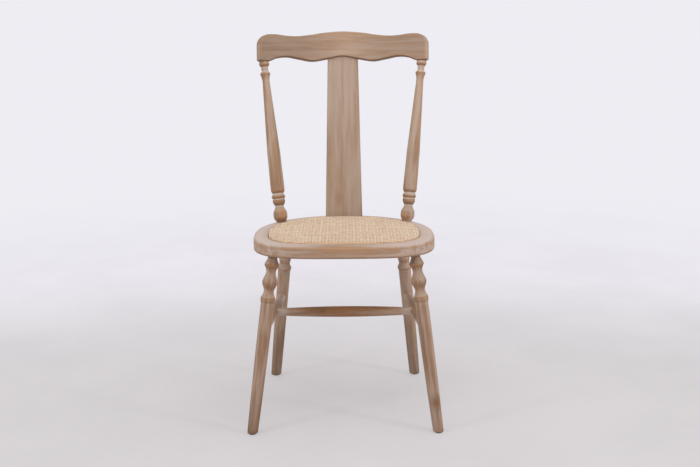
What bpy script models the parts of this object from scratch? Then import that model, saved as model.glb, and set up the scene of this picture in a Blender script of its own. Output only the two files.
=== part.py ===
"""A dining side chair: turned legs and back posts, a shaped crest rail, a flat splat and a drop-in cane seat.

The chair faces -Y and stands on Z = 0. Lengths are in metres. A value or a table whose name ends in
share or shares holds parts of the size that it follows.
"""
import math

import bmesh
import bpy
from mathutils import Matrix, Vector

# Fits
CLEARANCE = 0.0003
CUT_OVERRUN = 0.003
ROUND_SIDES = 16
PIN_SIDES = 10

# Seat ring, measured from its widest line, which is where X and Y are zero while the chair is built
SEAT_HEIGHT = 0.460
SEAT_THICKNESS = 0.027
SEAT_HALF_WIDTH = 0.222
SEAT_FRONT_DEPTH = 0.176
SEAT_REAR_DEPTH = 0.215
SEAT_FRONT_POWER = 3.4
SEAT_REAR_POWER = 2.05
SEAT_TOP_ROUND = 0.005
SEAT_BOTTOM_ROUND = 0.003
RIM_INNER_ROUND = 0.0015
RAIL_STEP_DEGREES = 7.5

# Opening for the cane panel: the rim's width on each side, and a rabbet with a ledge below it
RIM_SIDE_WIDTH = 0.034
RIM_FRONT_WIDTH = 0.044
RIM_REAR_WIDTH = 0.032
OPENING_FRONT_POWER = 3.4
OPENING_REAR_POWER = 2.22
RABBET_DEPTH = 0.011
LEDGE_WIDTH = 0.022

# Rail joints, as directions from the middle of the ring, and the two dowels in each
FRONT_JOINT_DEGREES = 42.0
REAR_JOINT_DEGREES = 60.0
DOWEL_RADIUS = 0.004
DOWEL_LENGTH = 0.030
DOWEL_HEIGHT_SHARE = 0.32
DOWEL_EDGE_DISTANCE = 0.013
DOWEL_CHAMFER = 0.001

# Cane panel: a crowned plywood board with a woven sheet folded over its edge
PANEL_GAP = 0.0016
PANEL_PROUD = 0.0045
PANEL_CROWN = 0.003
CANE_THICKNESS = 0.002
PANEL_EDGE_ROUND = 0.0018
PANEL_SIDES = 40
PANEL_RING_SHARES = (0.5, 0.8)

# Screws that hold the panel down from below
SCREW_RADIUS = 0.002
SCREW_GRIP = 0.0055
SCREW_HEAD_RADIUS = 0.004
SCREW_HEAD_HEIGHT = 0.0025
SCREW_RECESS = 0.002
SCREW_SLOT_WIDTH = 0.001
SCREW_SLOT_DEPTH = 0.001
SCREW_DIRECTIONS_DEGREES = (-115.0, -65.0, 5.0, 75.0, 105.0, 175.0)

# Legs: a direction from the middle of the seat and a share of the rim's width give the top of each axis,
# and splay and rake say how far outward and how far forward or backward the foot stands from there
FRONT_LEG_DEGREES = 33.6
FRONT_LEG_RIM_SHARE = 0.54
FRONT_LEG_SPLAY = 0.0557
FRONT_LEG_RAKE = -0.060
REAR_LEG_DEGREES = -36.9
REAR_LEG_RIM_SHARE = 0.3143
REAR_LEG_SPLAY = 0.0459
REAR_LEG_RAKE = 0.122
LEG_TENON_RADIUS = 0.010
LEG_TENON_SHARE = 0.45
FRONT_LEG_RADIUS = 0.0172
FRONT_TURNED_LENGTH = 0.1191
FRONT_FOOT_RADIUS = 0.0134
REAR_LEG_RADIUS = 0.0190
REAR_TURNED_LENGTH = 0.113
REAR_FOOT_RADIUS = 0.0145
FOOT_ROUND = 0.002

# Each row is the form of the stretch that ends there, its share of the turned length and of the radius
FRONT_TURNING_SHARES = (
    ("line", 0.000, 0.62),
    ("line", 0.102, 0.68),
    ("line", 0.221, 1.05),
    ("line", 0.238, 1.04),
    ("flat end", 0.370, 0.69),
    ("ogee", 0.581, 1.08),
    ("ogee", 0.757, 0.72),
    ("flat start", 0.875, 0.97),
    ("line", 0.885, 1.05),
    ("line", 0.961, 1.04),
    ("line", 1.000, 0.95),
)
REAR_TURNING_SHARES = (
    ("line", 0.000, 0.60),
    ("line", 0.079, 0.64),
    ("line", 0.186, 0.87),
    ("line", 0.203, 0.86),
    ("flat end", 0.301, 0.63),
    ("ogee", 0.445, 0.89),
    ("ogee", 0.574, 0.70),
    ("ogee", 0.673, 0.83),
    ("ogee", 0.772, 0.73),
    ("flat start", 0.896, 0.99),
    ("line", 0.919, 0.99),
    ("line", 0.939, 0.88),
    ("line", 0.955, 0.91),
    ("line", 1.000, 0.87),
)
# Below the turning: share of the rest of the leg, and share of the way from shoulder to foot radius
SHAFT_SHARES = ((0.0, 0.0), (0.20, 0.04), (0.42, 0.20), (0.66, 0.48), (0.90, 0.90))

# Glides under the feet
GLIDE_RADIUS = 0.009
GLIDE_THICKNESS = 0.003
GLIDE_ROUND = 0.001
GLIDE_PIN_RADIUS = 0.0018
GLIDE_PIN_LENGTH = 0.014

# Stretchers
STRETCHER_HEIGHT = 0.250
SIDE_STRETCHER_RADIUS = 0.0125
SIDE_STRETCHER_END_RADIUS = 0.0100
CROSS_STRETCHER_RADIUS = 0.0139
CROSS_STRETCHER_END_RADIUS = 0.0085
STRETCHER_TENON_RADIUS = 0.0065
STRETCHER_STEPS = 7

# Back posts: the foot is on the rim and the top is at the underside of the crest
POST_DEGREES = -38.0
POST_RIM_SHARE = 0.7574
POST_CREST_SHARE = 0.9325
POST_SETBACK = 0.079
POST_RADIUS = 0.0184
POST_TENON_RADIUS = 0.007
POST_TENON_SHARE = 0.43
POST_TOP_TENON = 0.022
POST_TURNING_SHARES = (
    ("line", 0.000, 0.60),
    ("flat end", 0.034, 1.00),
    ("line", 0.054, 0.99),
    ("ogee", 0.101, 0.60),
    ("flat end", 0.130, 0.90),
    ("line", 0.139, 0.90),
    ("line", 0.141, 0.82),
    ("line", 0.146, 0.86),
    ("line", 0.156, 0.99),
    ("flat start", 0.168, 0.89),
    ("line", 0.171, 0.81),
    ("line", 0.180, 0.81),
    ("line", 0.184, 0.88),
    ("flat end", 0.200, 1.00),
    ("ogee", 0.430, 0.94),
    ("line", 0.660, 0.715),
    ("line", 0.880, 0.515),
    ("flat start", 0.921, 0.72),
    ("line", 0.928, 0.73),
    ("flat end", 0.944, 0.48),
    ("line", 0.966, 0.50),
    ("line", 0.976, 0.67),
    ("flat end", 0.985, 0.74),
    ("line", 1.000, 0.66),
)

# Crest rail: bent to an arc in plan and leaning back
CREST_UNDERSIDE = 0.8630
CREST_HALF_SPAN = 0.2203
CREST_HEIGHT = 0.0825
CREST_THICKNESS = 0.023
CREST_BEND_RADIUS = 0.480
CREST_LEAN_DEGREES = 9.0
CREST_EDGE_ROUND = 0.004
CREST_CORNER_WIDTH = 0.026
CREST_CORNER_HEIGHT = 0.027
CREST_LOWER_CORNER = 0.006
CREST_COLUMNS = 19
CREST_ROUND_STEPS = 2
# Each row is a share of the half span and a share of the crest height
CREST_TOP_SHARES = (
    (0.00, 1.000), (0.24, 0.953), (0.38, 0.890), (0.55, 0.834), (0.68, 0.838), (0.80, 0.868), (0.90, 0.858),
    (1.00, 0.840),
)
CREST_BOTTOM_SHARES = (
    (0.00, 0.200), (0.18, 0.125), (0.364, 0.046), (0.52, 0.106), (0.66, 0.165), (0.78, 0.125), (0.885, 0.006),
    (0.92, 0.000), (1.00, 0.000),
)

# Splat
SPLAT_TOP_WIDTH = 0.080
SPLAT_BOTTOM_WIDTH = 0.098
SPLAT_THICKNESS = 0.011
SPLAT_EDGE_ROUND = 0.002
SPLAT_HOUSING_SHARE = 0.43
SPLAT_CREST_HOUSING = 0.018
SPLAT_SETBACK_SHARE = 0.52


def clear_scene():
    """Takes away every object, so that the script starts from nothing."""
    for found in list(bpy.data.objects):
        bpy.data.objects.remove(found, do_unlink=True)


def material(name, colour, roughness, metallic=0.0):
    """A plain finish: one colour, one roughness and one metallic value."""
    made = bpy.data.materials.new(name)
    made.use_nodes = True
    shader = made.node_tree.nodes["Principled BSDF"]
    shader.inputs["Base Color"].default_value = (*colour, 1.0)
    shader.inputs["Roughness"].default_value = roughness
    shader.inputs["Metallic"].default_value = metallic
    return made


def wood_material(name, colour):
    """Limed hardwood with a dull surface."""
    return material(name, colour, 0.62)


def cane_material():
    """Natural woven cane."""
    return material("woven_cane", (0.66, 0.49, 0.32), 0.55)


def plywood_material():
    """Raw plywood for the hidden board."""
    return material("plywood", (0.52, 0.36, 0.22), 0.75)


def steel_material():
    """Zinc-plated steel for the screws."""
    return material("screw_steel", (0.55, 0.55, 0.55), 0.35, 1.0)


def nylon_material():
    """Dark nylon for the glides."""
    return material("glide_nylon", (0.03, 0.028, 0.026), 0.5)


def add_piece(name, mesh_maker, finish, parent, matrix=None, sharp_degrees=35.0):
    """Turns a filled bmesh into a named, smooth-shaded object that hangs from the parent."""
    mesh = bpy.data.meshes.new(name)
    bmesh.ops.recalc_face_normals(mesh_maker, faces=mesh_maker.faces)
    mesh_maker.to_mesh(mesh)
    mesh_maker.free()
    mesh.shade_smooth()
    mesh.set_sharp_from_angle(angle=math.radians(sharp_degrees))
    if finish is not None:
        mesh.materials.append(finish)
    piece = bpy.data.objects.new(name, mesh)
    bpy.context.scene.collection.objects.link(piece)
    piece.parent = parent
    if matrix is not None:
        piece.matrix_local = matrix
    return piece


def as_cutter(piece):
    """Marks an object as a tool that only cuts others."""
    piece.hide_render = True
    piece.display_type = "WIRE"
    return piece


def cut(piece, cutter):
    """Takes the cutter's shape out of the piece."""
    boolean = piece.modifiers.new("cut " + cutter.name, "BOOLEAN")
    boolean.operation = "DIFFERENCE"
    boolean.solver = "EXACT"
    boolean.object = cutter


def placed_along(start, end):
    """Placement whose origin is the start point and whose Z axis runs to the end point."""
    way = (Vector(end) - Vector(start)).normalized()
    side = Vector((0.0, 1.0, 0.0)).cross(way).normalized()
    front = way.cross(side)
    turn = Matrix((side, front, way)).transposed().to_4x4()
    return Matrix.Translation(Vector(start)) @ turn


def eased(form, part):
    """How far a turned stretch has gone from its first to its last radius, for a part of its length."""
    if form == "ogee":
        return (1.0 - math.cos(math.pi * part)) / 2.0
    if form == "flat end":
        return math.sin(math.pi * part / 2.0)
    if form == "flat start":
        return 1.0 - math.cos(math.pi * part / 2.0)
    return part


def stretch_steps(form):
    """How many straight steps make up one stretch of a turning."""
    return {"line": 1, "ogee": 3}.get(form, 2)


def turned_stations(rows, length, radius, start=0.0):
    """Distances and radii along a turning, from rows of form, length share and radius share."""
    stations = [(start + rows[0][1] * length, rows[0][2] * radius)]
    for form, length_share, radius_share in rows[1:]:
        first_distance, first_radius = stations[-1]
        last_distance = start + length_share * length
        last_radius = radius_share * radius
        steps = stretch_steps(form)
        for step in range(1, steps + 1):
            part = step / steps
            distance = first_distance + (last_distance - first_distance) * part
            stations.append((distance, first_radius + (last_radius - first_radius) * eased(form, part)))
    return stations


def lathe(stations, sides, scribes=()):
    """A round solid about Z. A scribe (from, to, normal) lays the rings between two distances in a plane."""
    work = bmesh.new()
    rings = []
    for distance, radius in stations:
        normal = next((n for low, high, n in scribes if low <= distance <= high), None)
        ring = []
        for number in range(sides):
            angle = 2.0 * math.pi * (number + 0.5) / sides
            x = radius * math.cos(angle)
            y = radius * math.sin(angle)
            z = distance
            if normal is not None:
                z -= (x * normal.x + y * normal.y) / normal.z
            ring.append(work.verts.new((x, y, z)))
        rings.append(ring)
    for lower, upper in zip(rings, rings[1:]):
        for number in range(sides):
            after = (number + 1) % sides
            work.faces.new((lower[number], lower[after], upper[after], upper[number]))
    work.faces.new(list(reversed(rings[0])))
    work.faces.new(rings[-1])
    return work


def round_bar(name, start, end, radius, parent, sides=ROUND_SIDES, finish=None):
    """A plain round bar between two points."""
    length = (Vector(end) - Vector(start)).length
    work = lathe([(0.0, radius), (length, radius)], sides)
    return add_piece(name, work, finish, parent, placed_along(start, end))


def point_between(start, end, height):
    """The point of a sloping axis that lies at the given height."""
    start = Vector(start)
    end = Vector(end)
    return start + (end - start) * ((height - start.z) / (end.z - start.z))


def outline_reach(angle, half_width, front_depth, rear_depth, front_power, rear_power):
    """Distance from the middle of the seat to a rounded outline, in the direction of the angle."""
    across = abs(math.cos(angle)) / half_width
    if math.sin(angle) < 0.0:
        depth, power = front_depth, front_power
    else:
        depth, power = rear_depth, rear_power
    along = abs(math.sin(angle)) / depth
    return (across ** power + along ** power) ** (-1.0 / power)


def seat_reach(angle):
    """Distance to the outer edge of the seat."""
    return outline_reach(angle, SEAT_HALF_WIDTH, SEAT_FRONT_DEPTH, SEAT_REAR_DEPTH, SEAT_FRONT_POWER,
                         SEAT_REAR_POWER)


def opening_reach(angle):
    """Distance to the wall of the opening in the top of the seat."""
    return outline_reach(angle, SEAT_HALF_WIDTH - RIM_SIDE_WIDTH, SEAT_FRONT_DEPTH - RIM_FRONT_WIDTH,
                         SEAT_REAR_DEPTH - RIM_REAR_WIDTH, OPENING_FRONT_POWER, OPENING_REAR_POWER)


def rim_point(side, degrees, rim_share, height):
    """A point of the seat ring, on one side: a share of the way from the ledge's edge to the outer edge."""
    angle = math.radians(-degrees)
    inner = opening_reach(angle) - LEDGE_WIDTH
    reach = inner + (seat_reach(angle) - inner) * rim_share
    return Vector((side * reach * math.cos(angle), reach * math.sin(angle), height))


def quarter_round(radius, steps):
    """Pairs of distances from both faces of an edge that is rounded, from one face to the other."""
    pairs = []
    for step in range(steps + 1):
        angle = math.pi / 2.0 * step / steps
        pairs.append((radius * (1.0 - math.sin(angle)), radius * (1.0 - math.cos(angle))))
    return pairs


def rail_section(angle):
    """The rail's section in one direction, as distances from the middle and heights."""
    top = SEAT_HEIGHT
    bottom = SEAT_HEIGHT - SEAT_THICKNESS
    outer = seat_reach(angle)
    wall = opening_reach(angle)
    section = []
    for back, up in quarter_round(SEAT_BOTTOM_ROUND, 2):
        section.append((outer - back, bottom + up))
    for down, back in quarter_round(SEAT_TOP_ROUND, 2):
        section.append((outer - back, top - down))
    section.append((wall + RIM_INNER_ROUND, top))
    section.append((wall, top - RIM_INNER_ROUND))
    section.append((wall, top - RABBET_DEPTH))
    section.append((wall - LEDGE_WIDTH, top - RABBET_DEPTH))
    section.append((wall - LEDGE_WIDTH, bottom))
    return section


def joint_face(degrees, turn):
    """The direction of a rail's end face, which stays half a clearance away from the joint."""
    angle = math.radians(degrees)
    return angle + turn * CLEARANCE / 2.0 / (opening_reach(angle) - LEDGE_WIDTH)


def seat_rail(name, first_degrees, last_degrees, finish, parent):
    """One length of the seat ring, between two joints that point at the middle of the ring."""
    first = joint_face(first_degrees, 1.0)
    last = joint_face(last_degrees, -1.0)
    steps = max(2, round((last_degrees - first_degrees) / RAIL_STEP_DEGREES))
    work = bmesh.new()
    rows = []
    for step in range(steps + 1):
        angle = first + (last - first) * step / steps
        way = (math.cos(angle), math.sin(angle))
        rows.append([work.verts.new((way[0] * far, way[1] * far, height))
                     for far, height in rail_section(angle)])
    count = len(rows[0])
    for near, far in zip(rows, rows[1:]):
        for number in range(count):
            after = (number + 1) % count
            work.faces.new((near[number], near[after], far[after], far[number]))
    work.faces.new(list(reversed(rows[0])))
    work.faces.new(rows[-1])
    return add_piece(name, work, finish, parent, sharp_degrees=40.0)


def seat_ring(finishes, parent):
    """The four rails of the seat: front, rear and two sides."""
    front = FRONT_JOINT_DEGREES
    rear = REAR_JOINT_DEGREES
    return {
        "front": seat_rail("seat_front_rail", front - 180.0, -front, finishes["front"], parent),
        "right": seat_rail("seat_side_rail_right", -front, rear, finishes["side"], parent),
        "rear": seat_rail("seat_rear_rail", rear, 180.0 - rear, finishes["side"], parent),
        "left": seat_rail("seat_side_rail_left", 180.0 - rear, 180.0 + front, finishes["side"], parent),
    }


def dowel_places():
    """Middle point and direction of every dowel, with the two rails that it joins."""
    joints = (
        (-FRONT_JOINT_DEGREES, "front", "right"),
        (REAR_JOINT_DEGREES, "right", "rear"),
        (180.0 - REAR_JOINT_DEGREES, "rear", "left"),
        (180.0 + FRONT_JOINT_DEGREES, "left", "front"),
    )
    height = SEAT_HEIGHT - SEAT_THICKNESS * (1.0 - DOWEL_HEIGHT_SHARE)
    places = []
    for degrees, before, after in joints:
        angle = math.radians(degrees)
        out = Vector((math.cos(angle), math.sin(angle), 0.0))
        along = Vector((-out.y, out.x, 0.0))
        inner = opening_reach(angle) - LEDGE_WIDTH + DOWEL_EDGE_DISTANCE
        outer = seat_reach(angle) - DOWEL_EDGE_DISTANCE
        for reach in (inner, outer):
            middle = out * reach
            middle.z = height
            places.append((middle, along, before, after))
    return places


def rail_dowels(rails, finish, parent):
    """Loose dowels across the rail joints, and their holes in the rails."""
    half = DOWEL_LENGTH / 2.0
    stations = [
        (0.0, DOWEL_RADIUS - DOWEL_CHAMFER),
        (DOWEL_CHAMFER, DOWEL_RADIUS),
        (DOWEL_LENGTH - DOWEL_CHAMFER, DOWEL_RADIUS),
        (DOWEL_LENGTH, DOWEL_RADIUS - DOWEL_CHAMFER),
    ]
    for number, (middle, along, before, after) in enumerate(dowel_places(), start=1):
        start = middle - along * half
        end = middle + along * half
        pin = lathe(stations, PIN_SIDES)
        add_piece(f"rail_dowel_{number}", pin, finish, parent, placed_along(start, end))
        hole = round_bar(f"cut_dowel_{number}", start - along * CLEARANCE, end + along * CLEARANCE,
                         DOWEL_RADIUS + CLEARANCE, parent, PIN_SIDES)
        as_cutter(hole)
        cut(rails[before], hole)
        cut(rails[after], hole)


def dome(work, reach_of, edge_height, crown, sides, ring_shares):
    """Rings of a crowned surface from its middle to its edge: a middle point and the rings outward."""
    middle = work.verts.new((0.0, 0.0, edge_height + crown))
    rings = []
    for share in (*ring_shares, 1.0):
        ring = []
        for number in range(sides):
            angle = 2.0 * math.pi * number / sides
            reach = reach_of(angle) * share
            height = edge_height + crown * (1.0 - share ** 2)
            ring.append(work.verts.new((reach * math.cos(angle), reach * math.sin(angle), height)))
        rings.append(ring)
    return middle, rings


def flat_ring(work, reach_of, height, sides):
    """One ring of points at a constant height."""
    ring = []
    for number in range(sides):
        angle = 2.0 * math.pi * number / sides
        reach = reach_of(angle)
        ring.append(work.verts.new((reach * math.cos(angle), reach * math.sin(angle), height)))
    return ring


def close_rings(work, rings):
    """Faces between rings that follow one another."""
    for inner, outer in zip(rings, rings[1:]):
        sides = len(inner)
        for number in range(sides):
            after = (number + 1) % sides
            work.faces.new((inner[number], outer[number], outer[after], inner[after]))


def fan(work, middle, ring):
    """Faces from a middle point to the first ring round it."""
    sides = len(ring)
    for number in range(sides):
        work.faces.new((middle, ring[number], ring[(number + 1) % sides]))


def cover_reach(angle):
    """Distance to the outside of the folded cane."""
    return opening_reach(angle) - PANEL_GAP


def board_reach(angle):
    """Distance to the edge of the board inside the folded cane."""
    return cover_reach(angle) - CANE_THICKNESS - CLEARANCE


def board_floor():
    """Height of the underside of the board, just above the ledge."""
    return SEAT_HEIGHT - RABBET_DEPTH + CLEARANCE


def board_edge_height():
    """Height of the top of the board at its edge."""
    return SEAT_HEIGHT + PANEL_PROUD - CANE_THICKNESS - CLEARANCE


def seat_panel_board(finish, parent):
    """The crowned board that carries the cane."""
    work = bmesh.new()

    def rounded_reach(angle):
        return board_reach(angle) - PANEL_EDGE_ROUND

    middle, rings = dome(work, rounded_reach, board_edge_height(), PANEL_CROWN, PANEL_SIDES,
                         PANEL_RING_SHARES)
    fan(work, middle, rings[0])
    rings.append(flat_ring(work, board_reach, board_edge_height() - PANEL_EDGE_ROUND, PANEL_SIDES))
    rings.append(flat_ring(work, board_reach, board_floor(), PANEL_SIDES))
    close_rings(work, rings)
    work.faces.new(rings[-1])
    return add_piece("seat_panel_board", work, finish, parent, sharp_degrees=50.0)


def cane_cover(finish, parent):
    """The woven sheet: a crowned skin with a skirt that folds down round the board."""
    work = bmesh.new()
    top = board_edge_height() + CLEARANCE + CANE_THICKNESS

    def rounded_reach(angle):
        return cover_reach(angle) - PANEL_EDGE_ROUND

    def inner_reach(angle):
        return board_reach(angle) + CLEARANCE

    def inner_rounded_reach(angle):
        return inner_reach(angle) - PANEL_EDGE_ROUND

    middle, outer = dome(work, rounded_reach, top, PANEL_CROWN, PANEL_SIDES, PANEL_RING_SHARES)
    fan(work, middle, outer[0])
    outer.append(flat_ring(work, cover_reach, top - PANEL_EDGE_ROUND, PANEL_SIDES))
    outer.append(flat_ring(work, cover_reach, board_floor(), PANEL_SIDES))
    outer.append(flat_ring(work, inner_reach, board_floor(), PANEL_SIDES))
    outer.append(flat_ring(work, inner_reach, top - CANE_THICKNESS - PANEL_EDGE_ROUND, PANEL_SIDES))
    under, inner = dome(work, inner_rounded_reach, top - CANE_THICKNESS, PANEL_CROWN, PANEL_SIDES,
                        PANEL_RING_SHARES)
    close_rings(work, outer + list(reversed(inner)))
    fan(work, under, inner[0])
    return add_piece("cane_cover", work, finish, parent, sharp_degrees=50.0)


def rail_at(degrees):
    """Which rail lies in a direction from the middle of the seat."""
    if degrees < -FRONT_JOINT_DEGREES:
        return "front"
    if degrees < REAR_JOINT_DEGREES:
        return "right"
    if degrees < 180.0 - REAR_JOINT_DEGREES:
        return "rear"
    return "left"


def panel_screws(rails, board, finish, parent):
    """Screws up through the ledge into the board, with their recesses and holes."""
    head_face = SEAT_HEIGHT - SEAT_THICKNESS + SCREW_RECESS
    length = board_floor() + SCREW_GRIP - head_face
    stations = [
        (0.0, SCREW_HEAD_RADIUS),
        (SCREW_HEAD_HEIGHT, SCREW_RADIUS),
        (length - SCREW_RADIUS, SCREW_RADIUS),
        (length, SCREW_RADIUS / 2.0),
    ]
    hole_stations = [
        (-SCREW_RECESS - CUT_OVERRUN, SCREW_HEAD_RADIUS + CLEARANCE),
        (CLEARANCE, SCREW_HEAD_RADIUS + CLEARANCE),
        (SCREW_HEAD_HEIGHT + CLEARANCE, SCREW_RADIUS + CLEARANCE),
        (length + CLEARANCE, SCREW_RADIUS + CLEARANCE),
    ]
    for number, degrees in enumerate(SCREW_DIRECTIONS_DEGREES, start=1):
        angle = math.radians(degrees)
        reach = opening_reach(angle) - LEDGE_WIDTH / 2.0
        place = Matrix.Translation((reach * math.cos(angle), reach * math.sin(angle), head_face))
        screw = add_piece(f"panel_screw_{number}", lathe(stations, PIN_SIDES), finish, parent, place)
        turned_place = place @ Matrix.Rotation(angle, 4, "Z")
        slot = add_piece(f"cut_slot_{number}", screw_slot(), None, parent, turned_place)
        cut(screw, as_cutter(slot))
        hole = add_piece(f"cut_screw_{number}", lathe(hole_stations, PIN_SIDES), None, parent, place)
        as_cutter(hole)
        cut(rails[rail_at(degrees)], hole)
        cut(board, hole)


def screw_slot():
    """A bar that cuts a straight slot across the face of a screw head."""
    work = bmesh.new()
    bmesh.ops.create_cube(work, size=1.0)
    height = SCREW_SLOT_DEPTH + CUT_OVERRUN
    length = (SCREW_HEAD_RADIUS + CUT_OVERRUN) * 2.0
    work.transform(Matrix.Diagonal((length, SCREW_SLOT_WIDTH, height, 1.0)))
    work.transform(Matrix.Translation((0.0, 0.0, SCREW_SLOT_DEPTH - height / 2.0)))
    return work


def leg_axis(side, degrees, rim_share, splay, rake):
    """The ends of a leg's axis: at the underside of the seat and on the floor."""
    top = rim_point(side, degrees, rim_share, SEAT_HEIGHT - SEAT_THICKNESS)
    foot = Vector((top.x + side * splay, top.y + rake, 0.0))
    return top, foot


def front_leg_axis(side):
    """The axis of a front leg."""
    return leg_axis(side, FRONT_LEG_DEGREES, FRONT_LEG_RIM_SHARE, FRONT_LEG_SPLAY, FRONT_LEG_RAKE)


def rear_leg_axis(side):
    """The axis of a rear leg."""
    return leg_axis(side, REAR_LEG_DEGREES, REAR_LEG_RIM_SHARE, REAR_LEG_SPLAY, REAR_LEG_RAKE)


def leg_stations(length, rows, turned_length, radius, foot_radius):
    """Distances from the seat and radii of a leg, without its tenon."""
    stations = turned_stations(rows, turned_length, radius)
    shoulder_radius = stations[-1][1]
    rest = length - turned_length
    for length_share, radius_share in SHAFT_SHARES[1:]:
        stations.append((turned_length + rest * length_share,
                         shoulder_radius + (foot_radius - shoulder_radius) * radius_share))
    stations.append((length - FOOT_ROUND * 2.0, foot_radius))
    stations.append((length, foot_radius - FOOT_ROUND))
    return stations


def leg(name, axis, rows, turned_length, radius, foot_radius, finish, parent, grow=0.0):
    """A turned leg with a round tenon at the top and a foot that is cut level. Grow fattens it all over."""
    top, foot = axis
    start = point_between(top, foot, top.z - CLEARANCE)
    end = point_between(top, foot, GLIDE_THICKNESS + CLEARANCE)
    length = (end - start).length
    matrix = placed_along(start, end)
    level = matrix.to_3x3().transposed() @ Vector((0.0, 0.0, 1.0))
    stations = [(-SEAT_THICKNESS * LEG_TENON_SHARE, LEG_TENON_RADIUS), (0.0, LEG_TENON_RADIUS)]
    stations += leg_stations(length, rows, turned_length, radius, foot_radius)
    stations = [(distance, station_radius + grow) for distance, station_radius in stations]
    scribes = ((0.0, 0.0, level), (length - FOOT_ROUND * 2.0, length, level))
    return add_piece(name, lathe(stations, ROUND_SIDES, scribes), finish, parent, matrix)


def front_leg(name, side, finish, parent, grow=0.0):
    """A front leg: ring, ball, neck and banded shoulder over a tapering shaft."""
    return leg(name, front_leg_axis(side), FRONT_TURNING_SHARES, FRONT_TURNED_LENGTH, FRONT_LEG_RADIUS,
               FRONT_FOOT_RADIUS, finish, parent, grow)


def rear_leg(name, side, finish, parent, grow=0.0):
    """A rear leg, raked back, with a sharp bead at its shoulder."""
    return leg(name, rear_leg_axis(side), REAR_TURNING_SHARES, REAR_TURNED_LENGTH, REAR_LEG_RADIUS,
               REAR_FOOT_RADIUS, finish, parent, grow)


def leg_socket(name, axis, rail, parent):
    """The socket in the underside of the seat for a leg's tenon."""
    top, foot = axis
    way = (top - foot).normalized()
    socket = round_bar(name, top - way * CUT_OVERRUN, top + way * SEAT_THICKNESS * LEG_TENON_SHARE,
                       LEG_TENON_RADIUS + CLEARANCE, parent)
    as_cutter(socket)
    cut(rail, socket)


def glide(name, axis, leg_piece, finish, parent):
    """A glide under a foot: a disc with a pin that goes up into the leg."""
    foot = axis[1]
    stations = [
        (0.0, GLIDE_RADIUS - GLIDE_ROUND),
        (GLIDE_ROUND, GLIDE_RADIUS),
        (GLIDE_THICKNESS, GLIDE_RADIUS),
        (GLIDE_THICKNESS, GLIDE_PIN_RADIUS),
        (GLIDE_THICKNESS + GLIDE_PIN_LENGTH - GLIDE_PIN_RADIUS, GLIDE_PIN_RADIUS),
        (GLIDE_THICKNESS + GLIDE_PIN_LENGTH, GLIDE_PIN_RADIUS / 2.0),
    ]
    made = add_piece(name, lathe(stations, PIN_SIDES), finish, parent, Matrix.Translation(foot))
    up = Vector((0.0, 0.0, GLIDE_THICKNESS + GLIDE_PIN_LENGTH + CLEARANCE))
    hole = round_bar(f"cut_{name}", foot, foot + up, GLIDE_PIN_RADIUS + CLEARANCE, parent, PIN_SIDES)
    as_cutter(hole)
    cut(leg_piece, hole)
    return made


def swelled_bar(name, start, end, radius, end_radius, finish, parent, grow=0.0):
    """A stretcher that swells from its ends to its middle."""
    length = (Vector(end) - Vector(start)).length
    stations = []
    for step in range(STRETCHER_STEPS + 1):
        part = step / STRETCHER_STEPS
        off_middle = 2.0 * part - 1.0
        stations.append((part * length, end_radius + (radius - end_radius) * (1.0 - off_middle ** 2) + grow))
    return add_piece(name, lathe(stations, ROUND_SIDES), finish, parent, placed_along(start, end))


def tenon(piece, host, grown_host, axis_point, way, host_radius, parent):
    """Seats one end of a stretcher: scribes it to the host, leaves a round tenon, and drills the host.

    The axis point is where the stretcher's axis meets the host's own axis, way points into the host,
    and the grown host, which is the host with the clearance added, becomes the cutter.
    """
    outer = axis_point - way * host_radius * 2.0
    inner = stretcher_end(axis_point, way)
    keep = round_bar(f"cut_keep_{grown_host.name}", outer, inner + way * CUT_OVERRUN,
                     STRETCHER_TENON_RADIUS, parent)
    cut(grown_host, as_cutter(keep))
    cut(piece, as_cutter(grown_host))
    mortise = round_bar(f"cut_mortise_{grown_host.name}", outer, inner + way * CLEARANCE,
                        STRETCHER_TENON_RADIUS + CLEARANCE, parent)
    cut(host, as_cutter(mortise))


def stretcher_end(axis_point, way):
    """Where a tenon ends: a little past the host's axis."""
    return axis_point + way * (STRETCHER_TENON_RADIUS / 2.0)


def side_stretcher(name, side, legs, finish, parent):
    """A side stretcher between a front and a rear leg, with its tenons and mortises."""
    front_point = point_between(*front_leg_axis(side), STRETCHER_HEIGHT)
    rear_point = point_between(*rear_leg_axis(side), STRETCHER_HEIGHT)
    back = (rear_point - front_point).normalized()
    bar = swelled_bar(name, stretcher_end(front_point, -back), stretcher_end(rear_point, back),
                      SIDE_STRETCHER_RADIUS, SIDE_STRETCHER_END_RADIUS, finish, parent)
    grown_front = front_leg(f"cut_front_{name}", side, None, parent, CLEARANCE)
    grown_rear = rear_leg(f"cut_rear_{name}", side, None, parent, CLEARANCE)
    tenon(bar, legs["front"], grown_front, front_point, -back, FRONT_LEG_RADIUS, parent)
    tenon(bar, legs["rear"], grown_rear, rear_point, back, REAR_LEG_RADIUS, parent)
    return bar


def side_stretcher_middle(side):
    """The middle of a side stretcher's axis."""
    front_point = point_between(*front_leg_axis(side), STRETCHER_HEIGHT)
    rear_point = point_between(*rear_leg_axis(side), STRETCHER_HEIGHT)
    return (front_point + rear_point) / 2.0


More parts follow.
